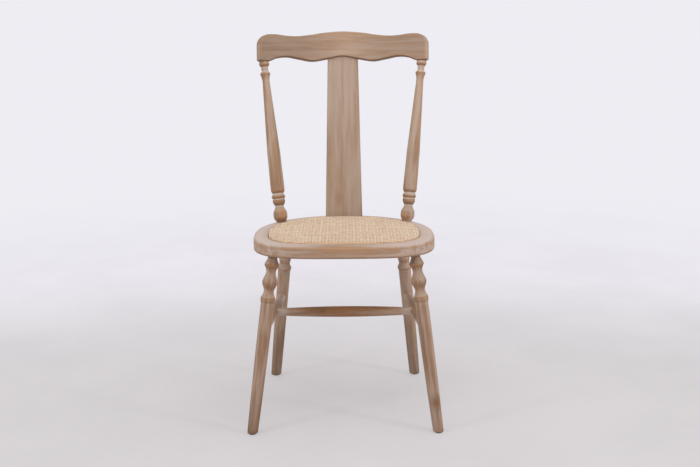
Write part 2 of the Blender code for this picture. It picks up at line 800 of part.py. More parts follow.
def cross_stretcher(sides, finish, parent):
    """The cross stretcher between the two side stretchers."""
    left = side_stretcher_middle(-1.0)
    right = side_stretcher_middle(1.0)
    across = Vector((1.0, 0.0, 0.0))
    bar = swelled_bar("cross_stretcher", stretcher_end(left, -across), stretcher_end(right, across),
                      CROSS_STRETCHER_RADIUS, CROSS_STRETCHER_END_RADIUS, finish, parent)
    for side, point, key in ((-1.0, left, "left"), (1.0, right, "right")):
        front_point = point_between(*front_leg_axis(side), STRETCHER_HEIGHT)
        rear_point = point_between(*rear_leg_axis(side), STRETCHER_HEIGHT)
        back = (rear_point - front_point).normalized()
        start = stretcher_end(front_point, -back)
        end = stretcher_end(rear_point, back)
        grown = swelled_bar(f"cut_side_{key}", start, end, SIDE_STRETCHER_RADIUS, SIDE_STRETCHER_END_RADIUS,
                            None, parent, CLEARANCE)
        tenon(bar, sides[key], grown, point, across * side, SIDE_STRETCHER_RADIUS, parent)
    return bar


def post_foot(side):
    """Where a back post stands on the seat."""
    return rim_point(side, POST_DEGREES, POST_RIM_SHARE, SEAT_HEIGHT)


def crest_frame():
    """Placement of the crest: its middle at the bottom, with Z up along the leaning board."""
    lean = math.radians(CREST_LEAN_DEGREES)
    forward = bend_forward(CREST_HALF_SPAN * POST_CREST_SHARE) * math.cos(lean)
    place = Vector((0.0, post_foot(1.0).y + POST_SETBACK + forward, CREST_UNDERSIDE))
    return Matrix.Translation(place) @ Matrix.Rotation(-lean, 4, "X")


def bend_forward(x):
    """How far the bent crest has come forward at a distance from its middle."""
    return CREST_BEND_RADIUS - math.sqrt(CREST_BEND_RADIUS ** 2 - x ** 2)


def smooth_height(rows, part):
    """A smooth curve through rows of place and height, with the slope at each row from its neighbours."""
    slopes = [0.0]
    for before, after in zip(rows, rows[2:]):
        slopes.append((after[1] - before[1]) / (after[0] - before[0]))
    slopes.append(0.0)
    number = 0
    while number < len(rows) - 2 and part > rows[number + 1][0]:
        number += 1
    run = rows[number + 1][0] - rows[number][0]
    t = (part - rows[number][0]) / run
    rise = t * t * (3.0 - 2.0 * t)
    height = rows[number][1] * (1.0 - rise) + rows[number + 1][1] * rise
    height += slopes[number] * run * t * (1.0 - t) ** 2
    height -= slopes[number + 1] * run * t ** 2 * (1.0 - t)
    return height


def crest_top(x):
    """Height of the crest's top edge, with its rounded upper corners."""
    height = smooth_height(CREST_TOP_SHARES, abs(x) / CREST_HALF_SPAN) * CREST_HEIGHT
    into_corner = (abs(x) - (CREST_HALF_SPAN - CREST_CORNER_WIDTH)) / CREST_CORNER_WIDTH
    if into_corner > 0.0:
        height -= CREST_CORNER_HEIGHT * (1.0 - math.sqrt(max(0.0, 1.0 - into_corner ** 2)))
    return height


def crest_bottom(x):
    """Height of the crest's shaped lower edge, with its eased lower corners."""
    height = smooth_height(CREST_BOTTOM_SHARES, abs(x) / CREST_HALF_SPAN) * CREST_HEIGHT
    into_corner = (abs(x) - (CREST_HALF_SPAN - CREST_LOWER_CORNER)) / CREST_LOWER_CORNER
    if into_corner > 0.0:
        height += CREST_LOWER_CORNER * (1.0 - math.sqrt(max(0.0, 1.0 - into_corner ** 2)))
    return height


def crest_outline():
    """The crest's front outline: the lower edge from left to right, then the upper edge back."""
    places = []
    for number in range(-CREST_COLUMNS, CREST_COLUMNS + 1):
        part = number / CREST_COLUMNS
        places.append(CREST_HALF_SPAN * (1.5 * part - 0.5 * part ** 3))
    lower = [(x, crest_bottom(x)) for x in places]
    upper = [(x, crest_top(x)) for x in reversed(places)]
    return lower + upper


def inset_outline(points, inset):
    """The outline moved inward by the inset, with each corner on the lines of its two moved sides."""
    moved = []
    count = len(points)
    for number, (x, z) in enumerate(points):
        before = Vector((x, z)) - Vector(points[number - 1])
        after = Vector(points[(number + 1) % count]) - Vector((x, z))
        first = Vector((-before.y, before.x)).normalized()
        second = Vector((-after.y, after.x)).normalized()
        push = (first + second) / (1.0 + first.dot(second))
        moved.append((x + push.x * inset, z + push.y * inset))
    return moved


def bent(x, depth, height):
    """A point of the straight board after the board is bent to its arc. Depth grows towards the back."""
    angle = math.asin(max(-1.0, min(1.0, x / CREST_BEND_RADIUS)))
    radius = CREST_BEND_RADIUS + depth
    return (radius * math.sin(angle), radius * math.cos(angle) - CREST_BEND_RADIUS, height)


def crest_rail(finish, parent):
    """The shaped crest: serpentine edges, rounded corners, eased arrises and a bend in plan."""
    outline = crest_outline()
    half = CREST_THICKNESS / 2.0
    layers = []
    for inset, depth in quarter_round(CREST_EDGE_ROUND, CREST_ROUND_STEPS):
        layers.append((inset, depth - half))
    for inset, depth in reversed(quarter_round(CREST_EDGE_ROUND, CREST_ROUND_STEPS)):
        layers.append((inset, half - depth))
    work = bmesh.new()
    loops = []
    for inset, depth in layers:
        loops.append([work.verts.new(bent(x, depth, z)) for x, z in inset_outline(outline, inset)])
    count = len(outline)
    for near, far in zip(loops, loops[1:]):
        for number in range(count):
            after = (number + 1) % count
            work.faces.new((near[number], near[after], far[after], far[number]))
    for loop in (loops[0], loops[-1]):
        for number in range(count // 2 - 1):
            over = count - 1 - number
            work.faces.new((loop[number], loop[number + 1], loop[over - 1], loop[over]))
    return add_piece("crest_rail", work, finish, parent, crest_frame())


def post_axis(side):
    """The ends of a back post: on the seat, and on the crest's underside."""
    x = CREST_HALF_SPAN * POST_CREST_SHARE
    top = crest_frame() @ Vector((side * x, -bend_forward(x), 0.0))
    return post_foot(side), top


def back_post(name, side, rail, crest, finish, parent):
    """A turned back post with a tenon into the seat and one into the crest, and their sockets."""
    foot, top = post_axis(side)
    way = (top - foot).normalized()
    crest_up = crest_frame().to_3x3() @ Vector((0.0, 0.0, 1.0))
    start = foot + way * (CLEARANCE / way.z)
    end = top - way * (CLEARANCE / way.dot(crest_up))
    length = (end - start).length
    matrix = placed_along(start, end)
    unturn = matrix.to_3x3().transposed()
    foot_tenon = SEAT_THICKNESS * POST_TENON_SHARE
    stations = [(-foot_tenon, POST_TENON_RADIUS), (0.0, POST_TENON_RADIUS)]
    stations += turned_stations(POST_TURNING_SHARES, length, POST_RADIUS)
    stations += [(length, POST_TENON_RADIUS), (length + POST_TOP_TENON, POST_TENON_RADIUS)]
    scribes = ((0.0, 0.0, unturn @ Vector((0.0, 0.0, 1.0))), (length - CLEARANCE, length, unturn @ crest_up))
    post = add_piece(name, lathe(stations, ROUND_SIDES, scribes), finish, parent, matrix)
    foot_socket = round_bar(f"cut_foot_{name}", start - way * (foot_tenon + CLEARANCE),
                            start + way * CUT_OVERRUN, POST_TENON_RADIUS + CLEARANCE, parent)
    top_socket = round_bar(f"cut_top_{name}", end - way * CUT_OVERRUN,
                           end + way * (POST_TOP_TENON + CLEARANCE), POST_TENON_RADIUS + CLEARANCE, parent)
    as_cutter(foot_socket)
    as_cutter(top_socket)
    cut(rail, foot_socket)
    cut(crest, top_socket)
    return post


def splat_ends():
    """The middle of the splat where it enters the seat, and where it enters the crest."""
    rear = opening_reach(math.pi / 2.0)
    rim = seat_reach(math.pi / 2.0) - rear
    bottom = Vector((0.0, rear + rim * SPLAT_SETBACK_SHARE, SEAT_HEIGHT))
    top = crest_frame() @ Vector((0.0, 0.0, crest_bottom(0.0)))
    return bottom, top


def splat_section(work, half_width, half_thickness, height):
    """One level of the splat: a rectangle with eased corners."""
    ring = []
    corners = ((1.0, 1.0), (-1.0, 1.0), (-1.0, -1.0), (1.0, -1.0))
    for number, (across, back) in enumerate(corners):
        pairs = quarter_round(SPLAT_EDGE_ROUND, 2)
        if number % 2:
            pairs = [(second, first) for first, second in pairs]
        for in_width, in_thickness in reversed(pairs):
            x = across * (half_width - in_width)
            y = back * (half_thickness - in_thickness)
            ring.append(work.verts.new((x, y, height)))
    return ring


def splat_solid(name, finish, parent, grow=0.0):
    """The tapering flat board. Grow fattens it all over, which makes the cutter for its housings."""
    bottom, top = splat_ends()
    length = (top - bottom).length
    work = bmesh.new()
    rings = []
    for height in (-SEAT_THICKNESS * SPLAT_HOUSING_SHARE - grow, length + SPLAT_CREST_HOUSING + grow):
        part = height / length
        width = SPLAT_BOTTOM_WIDTH + (SPLAT_TOP_WIDTH - SPLAT_BOTTOM_WIDTH) * part
        rings.append(splat_section(work, width / 2.0 + grow, SPLAT_THICKNESS / 2.0 + grow, height))
    close_rings(work, rings)
    work.faces.new(rings[0])
    work.faces.new(rings[-1])
    return add_piece(name, work, finish, parent, placed_along(bottom, top))


def back_splat(rail, crest, finish, parent):
    """The splat, housed at full section in the rear rail and in the crest."""
    splat = splat_solid("back_splat", finish, parent)
    housing = as_cutter(splat_solid("cut_splat", None, parent, CLEARANCE))
    cut(rail, housing)
    cut(crest, housing)
    return splat


def stand_on_origin(chair):
    """Moves the whole chair so that the middle of its footprint is at the origin and it stands on Z = 0."""
    bpy.context.view_layer.update()
    graph = bpy.context.evaluated_depsgraph_get()
    corners = []
    for piece in bpy.context.scene.objects:
        if piece.type == "MESH" and not piece.hide_render:
            shape = piece.evaluated_get(graph)
            corners += [shape.matrix_world @ vertex.co for vertex in shape.data.vertices]
    low = [min(corner[axis] for corner in corners) for axis in range(3)]
    high = [max(corner[axis] for corner in corners) for axis in range(3)]
    chair.location = (-(low[0] + high[0]) / 2.0, -(low[1] + high[1]) / 2.0, -low[2])


def build():
    """Makes every piece of the chair."""
    clear_scene()
    chair = bpy.data.objects.new("chair", None)
    bpy.context.scene.collection.objects.link(chair)
    pale = wood_material("limed_wood_pale", (0.44, 0.31, 0.23))
    warm = wood_material("limed_wood_warm", (0.39, 0.26, 0.18))
    shade = wood_material("limed_wood_shade", (0.30, 0.19, 0.13))
    plain = wood_material("beech_dowel", (0.58, 0.42, 0.27))
    nylon = nylon_material()

    rails = seat_ring({"front": warm, "side": pale}, chair)
    rail_dowels(rails, plain, chair)
    board = seat_panel_board(plywood_material(), chair)
    cane_cover(cane_material(), chair)
    panel_screws(rails, board, steel_material(), chair)

    stretchers = {}
    for side, key in ((-1.0, "left"), (1.0, "right")):
        legs = {
            "front": front_leg(f"front_leg_{key}", side, warm, chair),
            "rear": rear_leg(f"rear_leg_{key}", side, shade, chair),
        }
        leg_socket(f"cut_front_socket_{key}", front_leg_axis(side), rails[key], chair)
        leg_socket(f"cut_rear_socket_{key}", rear_leg_axis(side), rails[key], chair)
        glide(f"glide_front_{key}", front_leg_axis(side), legs["front"], nylon, chair)
        glide(f"glide_rear_{key}", rear_leg_axis(side), legs["rear"], nylon, chair)
        stretchers[key] = side_stretcher(f"side_stretcher_{key}", side, legs, shade, chair)
    cross_stretcher(stretchers, shade, chair)

    crest = crest_rail(pale, chair)
    for side, key in ((-1.0, "left"), (1.0, "right")):
        back_post(f"back_post_{key}", side, rails[key], crest, warm, chair)
    back_splat(rails["rear"], crest, pale, chair)
    stand_on_origin(chair)


build()
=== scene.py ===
"""Dressed model of the dining side chair: limed wood, woven cane, soft studio light and the camera.

Lengths are in metres. The chair's sizes are those of its solids, and a name that ends in share or shares
holds parts of the size that it follows. Colours are in display values of 0 to 255.
"""
import random
from math import asin, atan2, ceil, copysign, cos, exp, hypot, pi, radians, sin, sqrt, tanh

import bmesh
import bpy
from mathutils import Matrix, Vector
from mathutils.kdtree import KDTree

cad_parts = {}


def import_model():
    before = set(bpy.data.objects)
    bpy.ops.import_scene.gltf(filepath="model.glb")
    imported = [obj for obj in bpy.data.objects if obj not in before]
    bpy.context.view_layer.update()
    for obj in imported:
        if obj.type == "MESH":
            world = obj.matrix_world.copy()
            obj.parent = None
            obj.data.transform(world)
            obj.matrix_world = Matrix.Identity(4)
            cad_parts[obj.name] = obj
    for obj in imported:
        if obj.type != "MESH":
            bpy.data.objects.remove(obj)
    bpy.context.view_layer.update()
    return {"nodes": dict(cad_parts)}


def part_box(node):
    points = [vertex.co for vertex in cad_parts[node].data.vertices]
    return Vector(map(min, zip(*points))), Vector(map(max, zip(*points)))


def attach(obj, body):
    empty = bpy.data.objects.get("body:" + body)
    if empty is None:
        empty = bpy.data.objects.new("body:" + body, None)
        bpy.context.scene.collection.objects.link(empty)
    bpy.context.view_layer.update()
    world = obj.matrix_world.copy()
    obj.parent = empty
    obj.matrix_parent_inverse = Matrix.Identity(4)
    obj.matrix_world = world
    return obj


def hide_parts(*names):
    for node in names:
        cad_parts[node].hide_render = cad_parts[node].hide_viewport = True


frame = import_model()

UP = Vector((0.0, 0.0, 1.0))
SIDES = {"left": -1.0, "right": 1.0}

# Seat. An outline holds its half width, front and rear depth, and the powers of its front and rear curve.
CLEARANCE = 0.0003
SEAT_HEIGHT = 0.460
SEAT_THICKNESS = 0.027
SEAT_OUTLINE = (0.222, 0.176, 0.215, 3.4, 2.05)
OPENING_OUTLINE = (0.188, 0.132, 0.183, 3.4, 2.22)
SEAT_TOP_ROUND = 0.005
SEAT_BOTTOM_ROUND = 0.003
RIM_INNER_ROUND = 0.0015
RABBET_DEPTH = 0.011
LEDGE_WIDTH = 0.022
FRONT_JOINT_DEGREES = 42.0
REAR_JOINT_DEGREES = 60.0
PANEL_GAP = 0.0016
PANEL_PROUD = 0.0045
PANEL_CROWN = 0.003
SCREW_RECESS_RADIUS = 0.0043
SCREW_RECESS_DEPTH = 0.0048
SCREW_DIRECTIONS_DEGREES = (-115.0, -65.0, 5.0, 75.0, 105.0, 175.0)

# Where each kind of leg stands: direction from the seat's middle, share of the rim, splay and rake
LEG_STANDS = {"front": (33.6, 0.54, 0.0557, -0.060), "rear": (-36.9, 0.3143, 0.0459, 0.122)}
# Length and radius of a leg's turned part, and radius of its foot
LEG_SIZES = {"front": (0.1191, 0.0172, 0.0134), "rear": (0.113, 0.0190, 0.0145)}
# A turning's rows: place and radius as shares, and the form of the stretch that ends there if it isn't straight
LEG_TURNING_SHARES = {
    "front": (
        (0.000, 0.62), (0.102, 0.68), (0.221, 1.05), (0.238, 1.04),
        (0.370, 0.69, "flat end"), (0.581, 1.08, "ogee"), (0.757, 0.72, "ogee"), (0.875, 0.97, "flat start"),
        (0.885, 1.05), (0.961, 1.04), (1.000, 0.95),
    ),
    "rear": (
        (0.000, 0.60), (0.079, 0.64), (0.186, 0.87), (0.203, 0.86),
        (0.301, 0.63, "flat end"), (0.445, 0.89, "ogee"), (0.574, 0.70, "ogee"), (0.673, 0.83, "ogee"),
        (0.772, 0.73, "ogee"), (0.896, 0.99, "flat start"), (0.919, 0.99), (0.939, 0.88),
        (0.955, 0.91), (1.000, 0.87),
    ),
}
# Shares of the plain shaft's length and of its change of radius
SHAFT_SHARES = ((0.20, 0.04), (0.42, 0.20), (0.66, 0.48), (0.90, 0.90))
FOOT_SHARE = 0.978
FOOT_ARRIS = 0.001
GLIDE_THICKNESS = 0.003
STRETCHER_HEIGHT = 0.250
# Radius in the middle and at the ends
SIDE_STRETCHER_RADII = (0.0125, 0.0100)
CROSS_STRETCHER_RADII = (0.0139, 0.0085)

# Back
POST_DEGREES = -38.0
POST_RIM_SHARE = 0.7574
POST_CREST_SHARE = 0.9325
POST_SETBACK = 0.079
POST_RADIUS = 0.0184
POST_TURNING_SHARES = (
    (0.000, 0.60), (0.034, 1.00, "flat end"), (0.054, 0.99), (0.101, 0.60, "ogee"),
    (0.130, 0.90, "flat end"), (0.139, 0.90), (0.141, 0.82), (0.146, 0.86),
    (0.156, 0.99), (0.168, 0.89, "flat start"), (0.171, 0.81), (0.180, 0.81),
    (0.184, 0.88), (0.200, 1.00, "flat end"), (0.430, 0.94, "ogee"), (0.660, 0.715),
    (0.880, 0.515), (0.921, 0.72, "flat start"), (0.928, 0.73), (0.944, 0.48, "flat end"),
    (0.966, 0.50), (0.976, 0.67), (0.985, 0.74, "flat end"), (1.000, 0.66),
)
CREST_UNDERSIDE = 0.8630
CREST_HALF_SPAN = 0.2203
CREST_HEIGHT = 0.0825
CREST_THICKNESS = 0.023
CREST_BEND_RADIUS = 0.480
CREST_LEAN_DEGREES = 9.0
CREST_EDGE_ROUND = 0.004
# Width and height of a rounded corner
CREST_UPPER_CORNER = (0.026, 0.027)
CREST_LOWER_CORNER = (0.006, 0.006)
CREST_TOP_SHARES = (
    (0.00, 1.000), (0.24, 0.953), (0.38, 0.890), (0.55, 0.834), (0.68, 0.838), (0.80, 0.868), (0.90, 0.858),
    (1.00, 0.840),
)
CREST_BOTTOM_SHARES = (
    (0.00, 0.200), (0.18, 0.125), (0.364, 0.046), (0.52, 0.106), (0.66, 0.165), (0.78, 0.125), (0.885, 0.006),
    (0.92, 0.000), (1.00, 0.000),
)
SPLAT_TOP_WIDTH = 0.080
SPLAT_BOTTOM_WIDTH = 0.098
SPLAT_THICKNESS = 0.011
SPLAT_EDGE_ROUND = 0.002
SPLAT_HOUSING_SHARE = 0.43
SPLAT_CREST_HOUSING = 0.018
SPLAT_SETBACK_SHARE = 0.52

# How finely the dressed pieces are made
TURNING_SIDES = 56
TURNING_STEP = 0.0007
TURNING_SOFTNESS = 0.0006
TURNING_TOLERANCE = 0.00002
LONGEST_RING_GAP = 0.008
SOLID_SIDES = 16
SCRIBE_LENGTH = 0.009
STRETCHER_STEPS = 40
SPLAT_STEPS = 32
CREST_COLUMNS = 80
RAIL_STEP_DEGREES = 1.5
ROUND_STEPS = 5
INNER_ROUND_STEPS = 3

# How far painted shade, darkening, wear and paler wash reach, and how strong some of them are
RELIEF_LENGTH = 0.0024
RELIEF_DEPTH = 0.0003
WEAR_WIDTH = 0.0035
# Painted shade under the seat, at the top of each leg
SEAT_SHADE_REACH = 0.012
SEAT_SHADE = 1.15
# Darker towards each foot
FOOT_DARKENING_REACH = 0.005
FOOT_DARKENING = 0.5
BALL_LENGTH = 0.024
BLOOM_LENGTH = 0.110
CREST_BRIGHT_SPAN = 0.075
CREST_BRIGHT = 0.47
# Darker towards the seat, at the foot of the splat
SPLAT_DARKENING_REACH = 0.014
SPLAT_DARKENING = 0.20

# Cane: pairs of strands both ways and single strands on both diagonals
MESH = 0.00825
PAIR_HALF_GAP = 0.00105
STRAND_WIDTH = 0.00165
STRAND_THICKNESS = 0.00045
PAIR_WAVE = 0.00022
DIAGONAL_WAVE = 0.00042
SHEET_DEPTH = 0.00070
SHEET_HALF_SIZE = 0.30
FOLD_RADIUS = 0.0030
SKIRT_DEPTH = 0.0075
STRAND_STEP = MESH / 6.0
STRAND_SECTION = ((-0.5, -0.4), (0.5, -0.4), (0.34, 0.42), (0.0, 0.5), (-0.34, 0.42))

# The four colours of each wood, its share of wash and its contrast
WOOD_COLOURS = ("Wood", "Wash", "Worn", "Deep")
TONES = {
    "crest": ((174, 141, 113), (184, 162, 148), (176, 133, 95), (155, 124, 99), 0.62, 0.6),
    "splat": ((173, 145, 121), (187, 168, 154), (176, 136, 102), (158, 129, 107), 0.62, 0.7),
    "rim": ((170, 139, 115), (203, 184, 174), (170, 128, 90), (154, 124, 101), 0.85, 0.4),
    "post": ((164, 126, 94), (188, 167, 151), (166, 122, 84), (142, 107, 80), 0.68, 0.95),
    "front_leg": ((156, 119, 91), (184, 161, 146), (172, 124, 82), (128, 97, 74), 0.62, 0.9),
    "rear_leg": ((162, 128, 100), (190, 168, 152), (160, 114, 78), (138, 107, 84), 0.60, 0.7),
    "side_bar": ((162, 131, 107), (190, 169, 156), (160, 118, 84), (136, 106, 84), 0.80, 0.8),
    "bar": ((152, 113, 80), (180, 153, 135), (160, 114, 76), (114, 82, 57), 0.62, 0.8),
}
# Looks of a turned piece: tint at its two ends, bloom, seed of its wood, and its knot as place, share and eye
TURNED_LOOKS = {
    "front_leg_left": ((0.32, -0.28), -0.26, 421, None),
    "front_leg_right": ((0.12, -0.09), 0.38, 31, (-0.004, -0.012, 0.365, 1.0, 0.020)),
    "rear_leg_left": ((0.48, -0.69), 0.0, 422, None),
    "rear_leg_right": ((0.48, -0.55), 0.0, 32, None),
    "back_post_left": ((-0.06, 0.08), 0.0, 52, (0.0065, -0.0145, 0.022, 1.0, 0.0030)),
    "back_post_right": ((-0.16, 0.30), 0.70, 353, (-0.0095, -0.0110, 0.010, 0.8, 0.0045)),
}
SPLAT_KNOT = (-0.012, -0.0055, 0.048, 0.30, 0.0170)
GRAIN_TURNS = {"X": (0.0, pi / 2.0, 0.0), "Y": (pi / 2.0, 0.0, 0.0), "Z": (0.0, 0.0, 0.0)}
# Stretch along the grain, then scale, detail, roughness and distortion of the noise
GRAIN_LAYERS = (
    (0.30, 17.0, 3.0, 0.5, 0.2), (0.075, 75.0, 2.0, 0.5, 0.2), (0.09, 120.0, 3.0, 0.55, 0.2),
    (0.05, 360.0, 3.0, 0.60), (0.022, 1150.0, 2.0, 0.5), (0.5, 85.0, 4.0, 0.6),
)
WASH_MIDDLE = 0.85
# Brown of stains and of painted shade on faces that look down and under the seat
STAIN_AND_SHADE_COLOUR = (112, 80, 58)
LIME_COLOUR = (214, 203, 196)
KNOT_HALO_COLOUR = (196, 128, 82)
KNOT_EYE_COLOUR = (76, 48, 32)

# Studio
BACKGROUND_COLOUR = (238, 237, 243)
FLOOR_RADIUS = 60.0
# Share of the floor near the chair that keeps an even tone under the soft shadow
FLOOR_GLOW = 0.62
# Middle of a soft painted shadow on the floor, left of the chair
PAINTED_FLOOR_SHADOW = (-0.33, 0.04, 0.0)
# Place, point that it faces, size and power of each soft lamp
LAMPS = {
    "overhead": ((0.0, -0.4, 3.2), (0.0, 0.0, 0.4), 2.6, 34.0),
    "front_left": ((-2.55, -1.75, 1.4), (0.0, 0.0, 0.5), 0.5, 22.0),
    "front_right": ((2.65, -1.5, 1.25), (0.0, 0.0, 0.5), 0.4, 27.5),
}
CAMERA_PLACE = (0.005, -2.480, 0.988)
CAMERA_DOWN_DEGREES = 12.33
CAMERA_ROLL_DEGREES = -0.4
CAMERA_YAW_DEGREES = -0.23
SENSOR_MILLIMETRES = 36.0
LENS_MILLIMETRES = 51.43


# ---------------------------------------------------------------- shapes


def placed_along(start, end):
    """Placement whose origin is the start point and whose Z axis runs to the end point."""
    way = (end - start).normalized()
    side = Vector((0.0, 1.0, 0.0)).cross(way).normalized()
    return Matrix.Translation(start) @ Matrix((side, way.cross(side), way)).transposed().to_4x4()


def point_between(start, end, height):
    """The point of a sloping axis that lies at the given height."""
    return start + (end - start) * ((height - start.z) / (end.z - start.z))


def outline_reach(outline, angle):
    """Distance from the middle of the seat to a rounded outline, in the direction of the angle."""
    half_width, front_depth, rear_depth, front_power, rear_power = outline
    depth, power = (front_depth, front_power) if sin(angle) < 0.0 else (rear_depth, rear_power)
    across = abs(cos(angle)) / half_width
    along = abs(sin(angle)) / depth
    return (across ** power + along ** power) ** (-1.0 / power)


def rim_point(side, degrees, rim_share, height):
    """A point of the seat ring, on one side: a share of the way from the ledge's edge to the outer edge."""
    angle = radians(-degrees)
    inner = outline_reach(OPENING_OUTLINE, angle) - LEDGE_WIDTH
    reach = inner + (outline_reach(SEAT_OUTLINE, angle) - inner) * rim_share
    return Vector((side * reach * cos(angle), reach * sin(angle), height))


def leg_axis(kind, side):
    """The ends of a leg's axis: at the underside of the seat and on the floor."""
    degrees, rim_share, splay, rake = LEG_STANDS[kind]
    top = rim_point(side, degrees, rim_share, SEAT_HEIGHT - SEAT_THICKNESS)
    return top, Vector((top.x + side * splay, top.y + rake, 0.0))


def row_shift():
    """From the seat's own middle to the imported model's origin, read off a front glide."""
    low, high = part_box("glide_front_right")
    foot = leg_axis("front", 1.0)[1]
    return Matrix.Translation(((low[0] + high[0]) / 2.0 - foot.x, (low[1] + high[1]) / 2.0 - foot.y, low[2]))


SHIFT = row_shift()


def add_object(name, data):
    """A new object in the scene."""
    made = bpy.data.objects.new(name, data)
    bpy.context.scene.collection.objects.link(made)
    return made


def finished_piece(name, mesh, finish, replaced, sharp_degrees=35.0):
    """Shades a mesh and makes it a piece of the chair in place of a solid."""
    mesh.shade_smooth()
    mesh.set_sharp_from_angle(angle=radians(sharp_degrees))
    mesh.materials.append(finish)
    piece = add_object(name, mesh)
    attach(piece, "root")
    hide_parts(replaced)
    return piece


def lofted(name, loops, finish, replaced, matrix=None, sharp_degrees=35.0, strip_caps=False):
    """A smooth closed piece through loops of points.

    A point is its place, its marks and its place in the straight wood. The marks are its relief, its painted
    sheen and shade from how far it faces up, and how pale its wood is. Strip caps close the ends with quads,
    one from each half of the loop.
    """
    work = bmesh.new()
    rings = [[work.verts.new(point[0]) for point in loop] for loop in loops]
    for near, far in zip(rings, rings[1:]):
        for number in range(len(near)):
            after = (number + 1) % len(near)
            work.faces.new((near[number], near[after], far[after], far[number]))
    if strip_caps:
        for ring in (rings[0], rings[-1]):
            for number in range(len(ring) // 2 - 1):
                work.faces.new((ring[number], ring[number + 1], ring[-number - 2], ring[-number - 1]))
    else:
        work.faces.new(rings[0][::-1])
        work.faces.new(rings[-1])
    bmesh.ops.recalc_face_normals(work, faces=work.faces)
    mesh = bpy.data.meshes.new(name)
    work.to_mesh(mesh)
    work.free()
    for title, part in (("marks", 1), ("grain", 2)):
        values = [value for loop in loops for point in loop for value in point[part]]
        mesh.attributes.new(title, "FLOAT_VECTOR", "POINT").data.foreach_set("vector", values)
    mesh.transform(SHIFT @ (matrix or Matrix.Identity(4)))
    return finished_piece(name, mesh, finish, replaced, sharp_degrees)


def eased(form, part):
    """How far a turned stretch has gone to its last radius at a part of its length. A straight one has no form."""
    if "ogee" in form:
        return (1.0 - cos(pi * part)) / 2.0
    if "flat end" in form:
        return sin(pi * part / 2.0)
    if "flat start" in form:
        return 1.0 - cos(pi * part / 2.0)
    return part


def radius_at(stretches, distance):
    """Radius of a turning at a distance from its start."""
    for form, first, last, first_radius, last_radius in stretches:
        if distance <= last:
            part = max(0.0, (distance - first) / (last - first))
            return first_radius + (last_radius - first_radius) * eased(form, part)
    return stretches[-1][4]


def turned_stretches(rows, length, radius):
    """Stretches of a turning, as form, first and last distance, first and last radius."""
    return [(form, first * length, last * length, first_radius * radius, last_radius * radius)
            for (first, first_radius, *_), (last, last_radius, *form) in zip(rows, rows[1:])]


def weighted(samples, number, reach, spread):
    """Mean of the samples round one of them, with weights that fall off over the spread."""
    total = 0.0
    weight_sum = 0.0
    for step in range(-reach, reach + 1):
        other = min(len(samples) - 1, max(0, number + step))
        weight = exp(-0.5 * (step / spread) ** 2)
        total += samples[other] * weight
        weight_sum += weight
    return total / weight_sum


def turned_rings(stretches, length):
    """Distance, radius, relief and slope of a turning's rings, with softened arrises and no needless rings."""
    count = max(8, round(length / TURNING_STEP))
    step = length / count
    sharp = [radius_at(stretches, step * number) for number in range(count + 1)]
    spread = TURNING_SOFTNESS / step
    soft = [weighted(sharp, number, ceil(spread * 3.0), spread) for number in range(count + 1)]
    spread = RELIEF_LENGTH / step
    rings = []
    for number in range(count + 1):
        around = weighted(soft, number, ceil(spread * 2.5), spread)
        rise = (soft[min(count, number + 1)] - soft[max(0, number - 1)]) / (2.0 * step)
        raised = tanh((soft[number] - around) / RELIEF_DEPTH)
        rings.append((step * number, soft[number], raised * max(abs(raised), 0.4), rise / hypot(rise, 1.0)))
    return thinned(rings)


def thinned(rings):
    """Drops each ring that lies on the straight line between the rings that are kept round it."""
    kept = [rings[0]]
    start = 0
    for number in range(2, len(rings)):
        first = rings[start]
        last = rings[number]
        off = 0.0
        for between in rings[start + 1:number]:
            part = (between[0] - first[0]) / (last[0] - first[0])
            off = max(off, abs(between[1] - first[1] - (last[1] - first[1]) * part))
        if off > TURNING_TOLERANCE or last[0] - first[0] > LONGEST_RING_GAP:
            start = number - 1
            kept.append(rings[start])
    kept.append(rings[-1])
    return kept


def lathe(rings, length, tints, start_normal=UP, end_normal=UP, upward=0.0):
    """Loops of a round solid about Z. The normals are those of the planes that its two ends are scribed to."""
    inscribed = cos(pi / SOLID_SIDES)
    loops = []
    for distance, radius, raised, slope in rings:
        # The slope gives painted sheen on faces that look up and painted shade on faces that look down; upward
        # sets its sign.
        marks = (raised, slope * upward, tints[0] + (tints[1] - tints[0]) * distance / length)
        loop = []
        for number in range(TURNING_SIDES):
            angle = 2.0 * pi * (number + 0.5) / TURNING_SIDES
            x = radius * inscribed * cos(angle)
            y = radius * inscribed * sin(angle)
            z = distance
            for normal, away in ((start_normal, distance), (end_normal, length - distance)):
                if away < SCRIBE_LENGTH:
                    z -= (1.0 - away / SCRIBE_LENGTH) * (x * normal.x + y * normal.y) / normal.z
            loop.append(((x, y, z), marks, (x, y, z)))
        loops.append(loop)
    return loops


